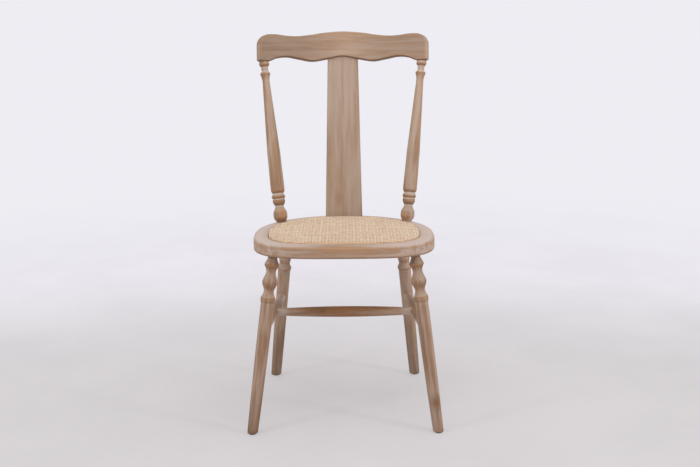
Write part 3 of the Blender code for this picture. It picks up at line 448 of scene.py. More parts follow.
def leg(kind, key):
    """A turned leg whose top fits the seat and whose foot is cut level, darker at both of its ends: painted shade
    under the seat at the top, and a darker foot.
    """
    tints, bloom, seed, knot = TURNED_LOOKS[f"{kind}_leg_{key}"]
    turned_length, radius, foot_radius = LEG_SIZES[kind]
    top, foot = leg_axis(kind, SIDES[key])
    start = point_between(top, foot, top.z - CLEARANCE)
    end = point_between(top, foot, GLIDE_THICKNESS + CLEARANCE)
    length = (end - start).length
    matrix = placed_along(start, end)
    level = matrix.to_3x3().transposed() @ UP
    stretches = turned_stretches(LEG_TURNING_SHARES[kind], turned_length, radius)
    shoulder = stretches[-1][4]
    shaft = [(turned_length, shoulder)]
    for length_share, radius_share in SHAFT_SHARES:
        shaft.append((turned_length + (length - turned_length) * length_share,
                      shoulder + (foot_radius - shoulder) * radius_share))
    shaft.append((length - FOOT_ARRIS, foot_radius * FOOT_SHARE))
    for before, after in zip(shaft, shaft[1:]):
        stretches.append(([], before[0], after[0], before[1], after[1]))
    stretches.append((["flat start"], shaft[-1][0], length, shaft[-1][1], shaft[-1][1] - FOOT_ARRIS))
    rings = []
    for distance, size, raised, slope in turned_rings(stretches, length):
        # Painted shade under the seat and a darker foot join the painted sheen and shade of the slope; the bloom,
        # a tone of the wood, rides in the same mark.
        near_seat = exp(-(distance / SEAT_SHADE_REACH) ** 2)
        near_floor = exp(-(length - distance) / FOOT_DARKENING_REACH)
        sheen_and_shade = slope - SEAT_SHADE * near_seat - FOOT_DARKENING * near_floor
        sheen_and_shade += bloom * exp(-((length - distance) / BLOOM_LENGTH) ** 2)
        rings.append((distance, size, raised * (1.0 - min(1.0, 3.0 * near_floor)), sheen_and_shade))
    finish = limed_wood(f"leg_{kind}_{key}", f"{kind}_leg", "Z", seed, knot)
    lofted(f"turned_{kind}_leg_{key}", lathe(rings, length, tints, level, level, 1.0), finish,
           f"{kind}_leg_{key}", matrix)


def stretcher(name, ends, radii, tints, finish, replaced):
    """A stretcher that swells from its ends to its middle, and runs a little way into what holds it."""
    start, end = ends
    radius, end_radius = radii
    length = (end - start).length
    rings = []
    for number in range(STRETCHER_STEPS + 1):
        part = number / STRETCHER_STEPS
        swell = 1.0 - (2.0 * part - 1.0) ** 2
        rings.append((part * length, end_radius + (radius - end_radius) * swell, 0.7 - 2.1 * (1.0 - swell), 0.0))
    lofted(name, lathe(rings, length, tints), finish, replaced, placed_along(start, end))


def quarter_round(radius, steps=ROUND_STEPS):
    """Pairs of distances from both faces of an edge that is rounded, from one face to the other."""
    angles = [pi / 2.0 * step / steps for step in range(steps + 1)]
    return [(radius * (1.0 - sin(angle)), radius * (1.0 - cos(angle))) for angle in angles]


def rail_section(angle):
    """The rail's section in one direction: distance from the middle, height, relief, and painted sheen and shade
    from how far it faces up.
    """
    top = SEAT_HEIGHT
    bottom = SEAT_HEIGHT - SEAT_THICKNESS
    outer = outline_reach(SEAT_OUTLINE, angle)
    wall = outline_reach(OPENING_OUTLINE, angle)
    front = max(0.0, -sin(angle)) ** 3
    return [
        # Undersides carry painted shade, partly stain, and the top carries painted sheen that is weaker at the
        # front.
        (outer - SEAT_BOTTOM_ROUND - WEAR_WIDTH, bottom, 0.0, -0.6),
        *[(outer - back, bottom + up, 0.2, -0.5) for back, up in quarter_round(SEAT_BOTTOM_ROUND)],
        (outer, bottom + SEAT_BOTTOM_ROUND + WEAR_WIDTH, 0.08 + 0.56 * front, 0.0),
        (outer, top - SEAT_TOP_ROUND - WEAR_WIDTH, 0.08 + 0.48 * front, 0.0),
        *[(outer - back, top - down, 0.4 + 0.95 * front - 0.3 * step / ROUND_STEPS, 0.25 * step / ROUND_STEPS)
          for step, (down, back) in enumerate(quarter_round(SEAT_TOP_ROUND))],
        (outer - SEAT_TOP_ROUND - WEAR_WIDTH, top, 1.0 * front - 0.35, 0.6 - 0.45 * front),
        (wall + RIM_INNER_ROUND + WEAR_WIDTH, top, 0.9 * front - 0.35, 0.6 - 0.45 * front),
        *[(wall + down, top - RIM_INNER_ROUND + back, 0.3 * front, 0.5)
          for back, down in quarter_round(RIM_INNER_ROUND, INNER_ROUND_STEPS)[::-1]],
        (wall, top - RABBET_DEPTH, -0.5, 0.0),
        (wall - LEDGE_WIDTH, top - RABBET_DEPTH, -0.5, 0.0),
        (wall - LEDGE_WIDTH, bottom, 0.0, 0.0),
    ]


def joint_face(degrees, turn):
    """The direction of a rail's end face, which stays half a clearance away from the joint."""
    angle = radians(degrees)
    return angle + turn * CLEARANCE / 2.0 / (outline_reach(OPENING_OUTLINE, angle) - LEDGE_WIDTH)


def seat_rail(name, first_degrees, last_degrees, finish, replaced):
    """One length of the seat ring, between two joints that point at the middle of the ring."""
    first = joint_face(first_degrees, 1.0)
    last = joint_face(last_degrees, -1.0)
    steps = round((last_degrees - first_degrees) / RAIL_STEP_DEGREES)
    loops = []
    for step in range(steps + 1):
        angle = first + (last - first) * step / steps
        loop = []
        for far, height, raised, sheen_and_shade in rail_section(angle):
            place = (far * cos(angle), far * sin(angle), height)
            loop.append((place, (raised, sheen_and_shade, 0.0), place))
        loops.append(loop)
    piece = lofted(name, loops, finish, replaced, sharp_degrees=40.0)
    for degrees in SCREW_DIRECTIONS_DEGREES:
        if first_degrees < degrees < last_degrees or first_degrees < degrees + 360.0 < last_degrees:
            sink_screw(piece, radians(degrees))


def carry_marks(before, after):
    """Gives the points of a cut mesh the marks and grain places of the nearest points before the cut."""
    tree = KDTree(len(before.vertices))
    for number, vertex in enumerate(before.vertices):
        tree.insert(vertex.co, number)
    tree.balance()
    nearest = [tree.find(vertex.co)[1] for vertex in after.vertices]
    for name in ("marks", "grain"):
        values = [value for number in nearest for value in before.attributes[name].data[number].vector]
        if name in after.attributes:
            after.attributes.remove(after.attributes[name])
        after.attributes.new(name, "FLOAT_VECTOR", "POINT").data.foreach_set("vector", values)


def sink_screw(piece, angle):
    """Cuts the round recess under the ledge in which a screw head sits."""
    work = bmesh.new()
    bmesh.ops.create_cone(work, cap_ends=True, segments=32, radius1=SCREW_RECESS_RADIUS,
                          radius2=SCREW_RECESS_RADIUS, depth=SCREW_RECESS_DEPTH * 2.0)
    mesh = bpy.data.meshes.new("recess")
    work.to_mesh(mesh)
    work.free()
    cutter = add_object("recess", mesh)
    reach = outline_reach(OPENING_OUTLINE, angle) - LEDGE_WIDTH / 2.0
    place = (reach * cos(angle), reach * sin(angle), SEAT_HEIGHT - SEAT_THICKNESS)
    cutter.matrix_world = SHIFT @ Matrix.Translation(place)
    boolean = piece.modifiers.new("recess", "BOOLEAN")
    boolean.operation = "DIFFERENCE"
    boolean.solver = "EXACT"
    boolean.object = cutter
    bpy.context.view_layer.update()
    made = bpy.data.meshes.new_from_object(piece.evaluated_get(bpy.context.evaluated_depsgraph_get()))
    piece.modifiers.clear()
    carry_marks(piece.data, made)
    piece.data = made
    bpy.data.objects.remove(cutter, do_unlink=True)


def bend_forward(x):
    """How far the bent crest has come forward at a distance from its middle."""
    return CREST_BEND_RADIUS - sqrt(CREST_BEND_RADIUS ** 2 - x ** 2)


def post_foot(side):
    """Where a back post stands on the seat."""
    return rim_point(side, POST_DEGREES, POST_RIM_SHARE, SEAT_HEIGHT)


def crest_frame():
    """Placement of the crest: its middle at the bottom, with Z up along the leaning board."""
    lean = radians(CREST_LEAN_DEGREES)
    forward = bend_forward(CREST_HALF_SPAN * POST_CREST_SHARE) * cos(lean)
    place = Vector((0.0, post_foot(1.0).y + POST_SETBACK + forward, CREST_UNDERSIDE))
    return Matrix.Translation(place) @ Matrix.Rotation(-lean, 4, "X")


def smooth_height(rows, part):
    """A smooth curve through rows of place and height, with the slope at each row from its neighbours."""
    slopes = [(after[1] - before[1]) / (after[0] - before[0]) for before, after in zip(rows, rows[2:])]
    slopes = [0.0] + slopes + [0.0]
    number = 0
    while number < len(rows) - 2 and part > rows[number + 1][0]:
        number += 1
    run = rows[number + 1][0] - rows[number][0]
    t = (part - rows[number][0]) / run
    rise = t * t * (3.0 - 2.0 * t)
    height = rows[number][1] * (1.0 - rise) + rows[number + 1][1] * rise
    height += slopes[number] * run * t * (1.0 - t) ** 2
    return height - slopes[number + 1] * run * t ** 2 * (1.0 - t)


def crest_edge(x, rows, corner, turn):
    """Height of one of the crest's shaped edges, whose corner turns down by minus one or up by one."""
    width, height = corner
    into_corner = max(0.0, (abs(x) - (CREST_HALF_SPAN - width)) / width)
    eased_by = height * (1.0 - sqrt(max(0.0, 1.0 - into_corner ** 2)))
    return smooth_height(rows, abs(x) / CREST_HALF_SPAN) * CREST_HEIGHT + turn * eased_by


def crest_outline():
    """The crest's front outline: the lower edge from left to right, then the upper edge back."""
    parts = [number / CREST_COLUMNS for number in range(-CREST_COLUMNS, CREST_COLUMNS + 1)]
    places = [CREST_HALF_SPAN * (1.5 * part - 0.5 * part ** 3) for part in parts]
    lower = [(x, crest_edge(x, CREST_BOTTOM_SHARES, CREST_LOWER_CORNER, 1.0)) for x in places]
    upper = [(x, crest_edge(x, CREST_TOP_SHARES, CREST_UPPER_CORNER, -1.0)) for x in reversed(places)]
    return lower + upper


def inset_outline(points, inset):
    """The outline moved inward by the inset, with each corner on the lines of its two moved sides."""
    moved = []
    for number, (x, z) in enumerate(points):
        before = Vector((x, z)) - Vector(points[number - 1])
        after = Vector(points[(number + 1) % len(points)]) - Vector((x, z))
        first = Vector((-before.y, before.x)).normalized()
        second = Vector((-after.y, after.x)).normalized()
        push = (first + second) / (1.0 + first.dot(second))
        moved.append((x + push.x * inset, z + push.y * inset))
    return moved


def bent(x, depth, height):
    """A point of the straight board after the board is bent to its arc. Depth grows towards the back."""
    angle = asin(max(-1.0, min(1.0, x / CREST_BEND_RADIUS)))
    radius = CREST_BEND_RADIUS + depth
    return (radius * sin(angle), radius * cos(angle) - CREST_BEND_RADIUS, height)


def crest_layers():
    """Inset, depth, relief and share of rounding of the loops from the crest's front face to its back."""
    half = CREST_THICKNESS / 2.0
    front = [(CREST_EDGE_ROUND + WEAR_WIDTH, -half, 0.0, 0.0)]
    for number, (inset, depth) in enumerate(quarter_round(CREST_EDGE_ROUND)):
        part = number / ROUND_STEPS
        front.append((inset, depth - half, 0.95 - 1.45 * min(1.0, 2.0 * part), part))
    front.append((0.0, CREST_EDGE_ROUND + WEAR_WIDTH / 2.0 - half, -0.4, 1.0))
    return front + [(inset, -depth, raised, part) for inset, depth, raised, part in reversed(front)]


def upward_share(points, number):
    """How far the outline faces up at one of its points: one on a level top edge, minus one on a lower edge."""
    return (Vector(points[number - 1]) - Vector(points[(number + 1) % len(points)])).normalized().x


def crest(finish):
    """The shaped crest: serpentine edges, rounded corners, eased arrises and a bend in plan."""
    outline = crest_outline()
    loops = []
    for inset, depth, raised, part in crest_layers():
        loop = []
        for number, (x, z) in enumerate(inset_outline(outline, inset)):
            tint = CREST_BRIGHT * exp(-(x / CREST_BRIGHT_SPAN) ** 2) - 0.33 + 0.15 * x / CREST_HALF_SPAN
            up = upward_share(outline, number)
            # The lower rounded edge gets painted shade, partly stain, and less wear.
            sheen_and_shade = sqrt(part) * (0.0 if up > 0.0 else 1.4 * up)
            worn = raised * (1.0 - 0.6 * max(0.0, -up)) if raised > 0.0 else raised
            marks = (worn, sheen_and_shade, tint + part * (0.22 - 0.60 * abs(up)))
            loop.append((bent(x, depth, z), marks, (x, depth, z)))
        loops.append(loop)
    lofted("shaped_crest", loops, finish, "crest_rail", crest_frame(), strip_caps=True)


def back_post(key):
    """A turned back post between the seat and the crest, with less wash on its ball."""
    tints, bloom, seed, knot = TURNED_LOOKS[f"back_post_{key}"]
    foot = post_foot(SIDES[key])
    x = CREST_HALF_SPAN * POST_CREST_SHARE
    top = crest_frame() @ Vector((SIDES[key] * x, -bend_forward(x), 0.0))
    way = (top - foot).normalized()
    crest_up = crest_frame().to_3x3() @ UP
    start = foot + way * (CLEARANCE / way.z)
    end = top - way * (CLEARANCE / way.dot(crest_up))
    length = (end - start).length
    matrix = placed_along(start, end)
    unturn = matrix.to_3x3().transposed()
    rings = []
    stretches = turned_stretches(POST_TURNING_SHARES, length, POST_RADIUS)
    for distance, size, raised, slope in turned_rings(stretches, length):
        rings.append((distance, size, raised, slope - bloom * exp(-(distance / BALL_LENGTH) ** 2)))
    loops = lathe(rings, length, tints, unturn @ UP, unturn @ crest_up, -1.0)
    finish = limed_wood(f"post_{key}", "post", "Z", seed, knot)
    lofted(f"turned_post_{key}", loops, finish, f"back_post_{key}", matrix)


def splat(finish):
    """The tapering flat board with eased corners, housed in the seat and in the crest."""
    rear = outline_reach(OPENING_OUTLINE, pi / 2.0)
    rim = outline_reach(SEAT_OUTLINE, pi / 2.0) - rear
    bottom = Vector((0.0, rear + rim * SPLAT_SETBACK_SHARE, SEAT_HEIGHT))
    top = crest_frame() @ Vector((0.0, 0.0, CREST_BOTTOM_SHARES[0][1] * CREST_HEIGHT))
    length = (top - bottom).length
    low = -SEAT_THICKNESS * SPLAT_HOUSING_SHARE
    high = length + SPLAT_CREST_HOUSING
    loops = []
    for number in range(SPLAT_STEPS + 1):
        height = low + (high - low) * number / SPLAT_STEPS
        width = SPLAT_BOTTOM_WIDTH + (SPLAT_TOP_WIDTH - SPLAT_BOTTOM_WIDTH) * height / length
        near_seat = exp(-(height / SPLAT_DARKENING_REACH) ** 2)
        tint = 0.20 * (height / length) ** 3 - 0.06 - SPLAT_DARKENING * near_seat
        loops.append([((x, y, height), (raised, 0.0, tint), (x, y, height))
                      for x, y, raised in splat_section(width / 2.0, SPLAT_THICKNESS / 2.0)])
    lofted("splat_board", loops, finish, "back_splat", placed_along(bottom, top))


def splat_section(half_width, half_thickness):
    """Points and relief round one level of the splat."""
    section = []
    for across, back in ((1.0, 1.0), (-1.0, 1.0), (-1.0, -1.0), (1.0, -1.0)):
        swapped = across != back
        worn = [(across * (half_width - SPLAT_EDGE_ROUND - WEAR_WIDTH / 2.0), back * half_thickness, 0.0)]
        rounding = []
        for pair in reversed(quarter_round(SPLAT_EDGE_ROUND)):
            in_width, in_thickness = pair[::-1] if swapped else pair
            rounding.append((across * (half_width - in_width), back * (half_thickness - in_thickness), 0.35))
        section.extend(worn + rounding if swapped else rounding + worn)
    return section


# ---------------------------------------------------------------- cane


def sheet_edge(x, y):
    """Distance from the middle to the start of the sheet's fold, in the direction of a point of it."""
    return outline_reach(OPENING_OUTLINE, atan2(y, x)) - PANEL_GAP - FOLD_RADIUS


def sheet_point(x, y, lift):
    """Place of a point of the flat sheet after the sheet is laid over the crowned panel and folded down."""
    far = hypot(x, y)
    angle = atan2(y, x)
    edge = sheet_edge(x, y)
    top = SEAT_HEIGHT + PANEL_PROUD
    out = Vector((cos(angle), sin(angle), 0.0))
    if far <= edge:
        normal = (UP + out * (2.0 * PANEL_CROWN * far / edge ** 2)).normalized()
        surface = out * far
        surface.z = top + PANEL_CROWN * (1.0 - (far / edge) ** 2)
        return surface + normal * (lift - SHEET_DEPTH)
    past = far - edge
    turn = min(past / FOLD_RADIUS, pi / 2.0)
    normal = UP * cos(turn) + out * sin(turn)
    centre = out * edge
    centre.z = top - FOLD_RADIUS - max(0.0, past - FOLD_RADIUS * pi / 2.0)
    return centre + normal * (FOLD_RADIUS + lift - SHEET_DEPTH)


def inside_reach(x, y):
    """How far a point of the flat sheet lies inside the lower edge of the folded skirt."""
    return sheet_edge(x, y) + FOLD_RADIUS * pi / 2.0 + SKIRT_DEPTH - hypot(x, y)


def pair_wave(place, sign):
    """Rise and fall of a strand of a pair, which crosses the two strands of each pair of the other way."""
    within = (place + MESH / 2.0) % MESH - MESH / 2.0
    if abs(within) <= PAIR_HALF_GAP:
        return -sign * PAIR_WAVE * sin(pi * within / (2.0 * PAIR_HALF_GAP))
    part = (abs(within) - PAIR_HALF_GAP) / (MESH / 2.0 - PAIR_HALF_GAP) / 2.0
    return -sign * copysign(PAIR_WAVE, within) * cos(pi * part)


def pair_runs(lengthwise):
    """The paired strands of one way: start, direction in the flat sheet, wave and tone of each strand."""
    runs = []
    count = ceil(SHEET_HALF_SIZE / MESH)
    for number in range(-count, count + 1):
        for sign in (1.0, -1.0):
            off = number * MESH - sign * PAIR_HALF_GAP
            if lengthwise:
                runs.append(((off, 0.0), (0.0, 1.0), lambda x, y, s=sign: pair_wave(y, s), number % 2))
            else:
                runs.append(((0.0, off), (1.0, 0.0), lambda x, y, s=sign: pair_wave(x, -s), number % 4 // 2))
    return runs


def diagonal_runs(lean):
    """The single strands of one diagonal, which pass over one pair and under the other."""
    runs = []
    count = ceil(2.0 * SHEET_HALF_SIZE / MESH)
    way = (sqrt(0.5), lean * sqrt(0.5))
    for number in range(-count, count + 1):
        offset = (number + 0.5) * MESH
        start = (offset / 2.0, -lean * offset / 2.0)
        runs.append((start, way, lambda x, y: lean * DIAGONAL_WAVE * cos(2.0 * pi * x / MESH), 0.5))
    return runs


def strand_path(start, way, wave):
    """Points of one strand's middle line on the flat sheet, with its lift at each."""
    count = round(SHEET_HALF_SIZE / STRAND_STEP)
    path = []
    for number in range(-count, count + 1):
        x = start[0] + way[0] * number * STRAND_STEP
        y = start[1] + way[1] * number * STRAND_STEP
        if inside_reach(x, y) > 0.0:
            path.append((x, y, wave(x, y)))
    return path


def weave_strand(sheet, path, way, tone):
    """Adds one strand with a rounded face to the lists of a sheet's points, places, tones and faces."""
    points, places, tones, faces = sheet
    base = len(points)
    sides = len(STRAND_SECTION)
    for x, y, lift in path:
        for across, up in STRAND_SECTION:
            flat_x = x - way[1] * across * STRAND_WIDTH
            flat_y = y + way[0] * across * STRAND_WIDTH
            points.append(SHIFT @ sheet_point(flat_x, flat_y, lift + up * STRAND_THICKNESS))
            places.extend((flat_x, flat_y, inside_reach(flat_x, flat_y)))
            tones.append(tone)
    last = len(points) - sides
    for near in range(base, last, sides):
        for number in range(sides):
            after = (number + 1) % sides
            faces.append((near + number, near + after, near + sides + after, near + sides + number))
    faces.append(tuple(range(base + sides - 1, base - 1, -1)))
    faces.append(tuple(range(last, last + sides)))


def cane_layer(name, runs, seed, finish):
    """The strands of the sheet that run one way."""
    seeded = random.Random(seed)
    points, places, tones, faces = sheet = ([], [], [], [])
    for start, way, wave, tone in runs:
        path = strand_path(start, way, wave)
        if len(path) > 2:
            weave_strand(sheet, path, way, 0.6 * tone + 0.4 * seeded.random())
    mesh = bpy.data.meshes.new(name)
    mesh.from_pydata(points, [], faces)
    mesh.attributes.new("relief", "FLOAT", "POINT").data.foreach_set("value", tones)
    mesh.attributes.new("grain", "FLOAT_VECTOR", "POINT").data.foreach_set("vector", places)
    finished_piece(name, mesh, finish, "cane_cover", 60.0)


# ---------------------------------------------------------------- finishes


def linear(colour):
    """A colour given in display values, as the shader needs it."""
    values = []
    for value in colour:
        share = value / 255.0
        values.append(share / 12.92 if share <= 0.04045 else ((share + 0.055) / 1.055) ** 2.4)
    return (*values, 1.0)


class Nodes:
    """Adds and joins nodes in one shader tree."""

    def __init__(self, tree):
        self.tree = tree

    def fill(self, node, inputs):
        """Fills a node's inputs with values or links."""
        for key, value in inputs.items():
            if isinstance(value, bpy.types.NodeSocket):
                self.tree.links.new(value, node.inputs[key])
            else:
                node.inputs[key].default_value = value

    def add(self, kind, inputs, **settings):
        """Adds a node with its settings and inputs."""
        node = self.tree.nodes.new("ShaderNode" + kind)
        for name, value in settings.items():
            setattr(node, name, value)
        self.fill(node, inputs)
        return node

    def maths(self, operation, first, second=0.0, clamp=False):
        """A sum, product or other operation on two numbers."""
        return self.add("Math", {0: first, 1: second}, operation=operation, use_clamp=clamp).outputs[0]

    def total(self, *terms):
        """The sum of several numbers, each times its weight."""
        found = None
        for value, weight in terms:
            part = self.maths("MULTIPLY", value, weight)
            found = self.maths("ADD", found, part) if found else part
        return found

    def vectors(self, operation, first, second=(0.0, 0.0, 0.0), output="Vector"):
        """A sum, product or other operation on two vectors."""
        return self.add("VectorMath", {0: first, 1: second}, operation=operation).outputs[output]

    def scaled(self, vector, scale):
        """A vector with each of its parts multiplied."""
        return self.vectors("MULTIPLY", vector, scale)

    def parts(self, vector):
        """The three parts of a vector."""
        return self.add("SeparateXYZ", {0: vector}).outputs

    def grey(self, value):
        """A colour whose three parts are one value."""
        return self.add("CombineColor", {0: value, 1: value, 2: value}).outputs[0]

    def attribute(self, name, output="Vector"):
        """A value that the mesh holds for each of its points."""
        return self.add("Attribute", {}, attribute_name=name).outputs[output]

    def noise(self, vector, scale, detail=2.0, roughness=0.5, distortion=0.0):
        """Soft random values about one half."""
        return self.add("TexNoise", {"Vector": vector, "Scale": scale, "Detail": detail,
                                     "Roughness": roughness, "Distortion": distortion}).outputs[0]

    def spread(self, value, low, high, bottom=0.0, top=1.0):
        """A value carried smoothly from one range to another and held there."""
        return self.add("MapRange", {"Value": value, "From Min": low, "From Max": high, "To Min": bottom,
                                     "To Max": top}, interpolation_type="SMOOTHSTEP").outputs[0]

    def mix(self, factor, first, second, blend="MIX"):
        """Two colours mixed. Each is a socket or a colour in display values."""
        first, second = [linear(value) if isinstance(value, tuple) else value for value in (first, second)]
        return self.add("Mix", {0: factor, 6: first, 7: second}, data_type="RGBA", blend_type=blend).outputs[2]

    def surface(self, colour, roughness, height, strength, distance, specular=0.5, metallic=0.0):
        """Joins colour, roughness and a bump to the shader."""
        bump = self.add("Bump", {"Height": height, "Strength": strength, "Distance": distance}).outputs[0]
        self.fill(self.tree.nodes["Principled BSDF"], {
            "Base Color": colour, "Roughness": roughness, "Normal": bump, "Specular IOR Level": specular,
            "Metallic": metallic})


def new_finish(name):
    """A new material and its nodes."""
    made = bpy.data.materials.new(name)
    made.use_nodes = True
    return made, Nodes(made.node_tree)


def limed_grain():
    """Shared nodes of the limed wood: colour, roughness and height from a place whose Z follows the grain."""
    group = bpy.data.node_groups.new("limed_grain", "ShaderNodeTree")
    sockets = {
        "INPUT": {"Vector": ("Place", "Knot"), "Color": WOOD_COLOURS,
                  "Float": ("Relief", "Facing", "Tint", "Wash Share", "Contrast", "Knot Share", "Knot Eye")},
        "OUTPUT": {"Color": ("Color",), "Float": ("Roughness", "Height")},
    }
    for way, kinds in sockets.items():
        for kind, names in kinds.items():
            for name in names:
                group.interface.new_socket(name=name, in_out=way, socket_type="NodeSocket" + kind)
    nodes = Nodes(group)
    given = group.nodes.new("NodeGroupInput").outputs
    relief, sheen_and_shade, tint = given["Relief"], given["Facing"], given["Tint"]

    away = nodes.scaled(nodes.vectors("SUBTRACT", given["Place"], given["Knot"]), (1.0, 1.0, 0.60))
    away = nodes.vectors("LENGTH", away, output="Value")
    swirl = nodes.maths("MULTIPLY", nodes.spread(away, 0.0, 0.016, 1.0, 0.0), given["Knot Share"])
    bow = nodes.add("CombineXYZ", {0: nodes.maths("MULTIPLY", swirl, 0.010), 1: 0.0, 2: 0.0}).outputs[0]
    place = nodes.vectors("ADD", given["Place"], bow)
    broad, bands, figure, streaks, pores, patch = [
        nodes.noise(nodes.scaled(place, (1.0, 1.0, along)), *settings) for along, *settings in GRAIN_LAYERS]
    bands = nodes.spread(bands, 0.38, 0.62)

    grain = nodes.total((figure, 0.95), (streaks, 0.60), (broad, 0.30))
    colour = nodes.mix(nodes.spread(grain, 0.62, 1.18), given["Deep"], given["Wood"])
    wash = nodes.total((broad, 0.55), (streaks, 0.30), (figure, 0.30), (bands, 0.45))
    wash = nodes.maths("MULTIPLY", nodes.maths("SUBTRACT", wash, WASH_MIDDLE), given["Contrast"])
    # Faces that look up get more wash: painted sheen.
    wash = nodes.total((wash, 1.0), (WASH_MIDDLE, 1.0), (relief, -0.35), (sheen_and_shade, 0.55), (tint, 0.20))
    wash = nodes.maths("MULTIPLY", nodes.spread(wash, 0.50, 1.15), given["Wash Share"], True)
    colour = nodes.mix(wash, colour, given["Wash"])
    gain = nodes.total((tint, 0.5), (1.0, 1.0))
    colour = nodes.add("VectorMath", {0: colour, 3: gain}, operation="SCALE").outputs[0]

    # Faces that look down get more of the worn colour: painted shade.
    worn = nodes.total((relief, 1.0), (nodes.spread(patch, 0.30, 0.70, -0.35, 0.35), 1.0), (bands, -0.45),
                       (sheen_and_shade, -0.35))
    colour = nodes.mix(nodes.spread(worn, 0.10, 0.85, 0.0, 0.75), colour, given["Worn"])
    # Painted shade, partly stain, browns faces that look down and the leg tops under the seat; the feet darken
    # too, and random patches add real stain.
    stain_and_shade = nodes.total((sheen_and_shade, -1.15), (patch, 0.35))
    colour = nodes.mix(nodes.spread(stain_and_shade, 0.38, 1.20, 0.0, 0.80), colour, STAIN_AND_SHADE_COLOUR)
    colour = nodes.mix(nodes.spread(relief, -0.95, -0.45, 0.42, 0.0), colour, LIME_COLOUR)

    halo = nodes.maths("MULTIPLY", nodes.spread(away, 0.003, 0.012, 0.80, 0.0), given["Knot Share"])
    colour = nodes.mix(halo, colour, nodes.mix(0.45, given["Worn"], KNOT_HALO_COLOUR))
    eye = nodes.maths("MULTIPLY", nodes.spread(away, 0.0008, given["Knot Eye"], 0.62, 0.0), given["Knot Share"])
    colour = nodes.mix(eye, colour, KNOT_EYE_COLOUR)
    fine = nodes.spread(pores, 0.28, 0.46, 0.86, 1.0)
    colour = nodes.mix(0.65, colour, nodes.grey(fine), "MULTIPLY")
    nodes.fill(group.nodes.new("NodeGroupOutput"), {
        "Color": colour, "Roughness": nodes.spread(wash, 0.0, 1.0, 0.52, 0.72),
        "Height": nodes.total((streaks, 0.6), (fine, 0.5))})


def limed_wood(name, tone, axis, seed, knot=None):
    """Limed wood for one piece: its grain follows the axis, and the seed moves it to other wood."""
    made, nodes = new_finish(name)
    seeded = random.Random(seed)
    shift = Vector([seeded.uniform(-3.0, 3.0) for number in range(3)])
    place = nodes.add("Mapping", {"Vector": nodes.attribute("grain"), "Location": shift,
                                  "Rotation": GRAIN_TURNS[axis]}).outputs[0]
    relief, sheen_and_shade, tint = nodes.parts(nodes.attribute("marks"))
    *colours, share, contrast = TONES[tone]
    group = nodes.add("Group", {}, node_tree=bpy.data.node_groups["limed_grain"])
    nodes.fill(group, {"Place": place, "Relief": relief, "Facing": sheen_and_shade, "Tint": tint, "Wash Share": share,
                       "Contrast": contrast, **dict(zip(WOOD_COLOURS, map(linear, colours)))})
    if knot:
        nodes.fill(group, {"Knot": Vector(knot[:3]) + shift, "Knot Share": knot[3], "Knot Eye": knot[4]})
    nodes.surface(*group.outputs, 0.30, 0.0003, 0.35)
    return made


def cane_finish():
    """Split cane: a tone of its own for each strand, soft mottling, a paler and warmer front fold that is painted
    light, painted shade low on the skirt, and a soft gloss.
    """
    made, nodes = new_finish("woven_cane")
    where = nodes.attribute("grain")
    parts = nodes.parts(where)
    mottle = nodes.noise(nodes.scaled(where, (1.0, 0.4, 0.0)), 150.0, 3.0, 0.6)
    fibre, broad, flecks = [nodes.noise(where, scale) for scale in (1500.0, 16.0, 300.0)]
    mixed = nodes.total((nodes.attribute("relief", "Fac"), 0.28), (mottle, 0.90), (broad, 0.25), (flecks, 0.70))
    colour = nodes.mix(nodes.spread(mixed, 0.72, 1.40), (194, 161, 130), (236, 217, 197))
    # Painted light: the fold at the front is paler and warmer.
    front = nodes.spread(parts["Y"], -0.13, -0.05, 0.85, 0.10)
    painted_fold_light = nodes.maths("MULTIPLY", nodes.spread(parts["Z"], 0.0100, 0.0145, 1.0, 0.0), front)
    colour = nodes.mix(painted_fold_light, colour, (244, 209, 171))
    # Painted shade low on the skirt, in the gap round the panel.
    colour = nodes.mix(nodes.spread(parts["Z"], 0.0030, 0.0050, 0.3, 0.0), colour, (170, 130, 92))
    colour = nodes.mix(nodes.spread(fibre, 0.35, 0.6, 0.20, 0.0), colour, (196, 160, 122))
    nodes.surface(colour, nodes.spread(mottle, 0.3, 0.7, 0.42, 0.56), fibre, 0.20, 0.0001, 0.35)
    return made


def plain_wood(name, light, dark, stretch, scale):
    """Raw wood of a hidden piece: fine straight grain."""
    made, nodes = new_finish(name)
    where = nodes.scaled(nodes.add("TexCoord", {}).outputs["Object"], stretch)
    grain = nodes.noise(where, scale, 4.0, 0.6, 0.4)
    broad = nodes.noise(where, scale / 9.0, 2.0, 0.5, 0.8)
    colour = nodes.mix(nodes.spread(nodes.total((grain, 0.6), (broad, 0.5)), 0.35, 0.75), dark, light)
    nodes.surface(colour, nodes.spread(grain, 0.3, 0.7, 0.62, 0.8), grain, 0.3, 0.0003)
    return made


def small_finish(name, light, dark, roughness, metallic, scale):
    """Finish of a small fitting: a mottled colour with fine scratches."""
    made, nodes = new_finish(name)
    where = nodes.add("TexCoord", {}).outputs["Object"]
    mottle = nodes.noise(where, scale, 4.0, 0.65)
    scratch = nodes.noise(nodes.scaled(where, (1.0, 0.1, 1.0)), scale * 3.0, 2.0, 0.5)
    rough = nodes.spread(scratch, 0.3, 0.7, roughness - 0.08, roughness + 0.08)
    colour = nodes.mix(nodes.spread(mottle, 0.35, 0.65), dark, light)
    nodes.surface(colour, rough, scratch, 0.2, 0.0001, metallic=metallic)
    return made


def give(node, finish):
    """Puts a finish on a solid that stays in view."""
    piece = frame["nodes"][node]
    if not piece.material_slots:
        piece.data.materials.append(finish)
    for held in piece.material_slots:
        held.link = "OBJECT"
        held.material = finish


# ---------------------------------------------------------------- the chair


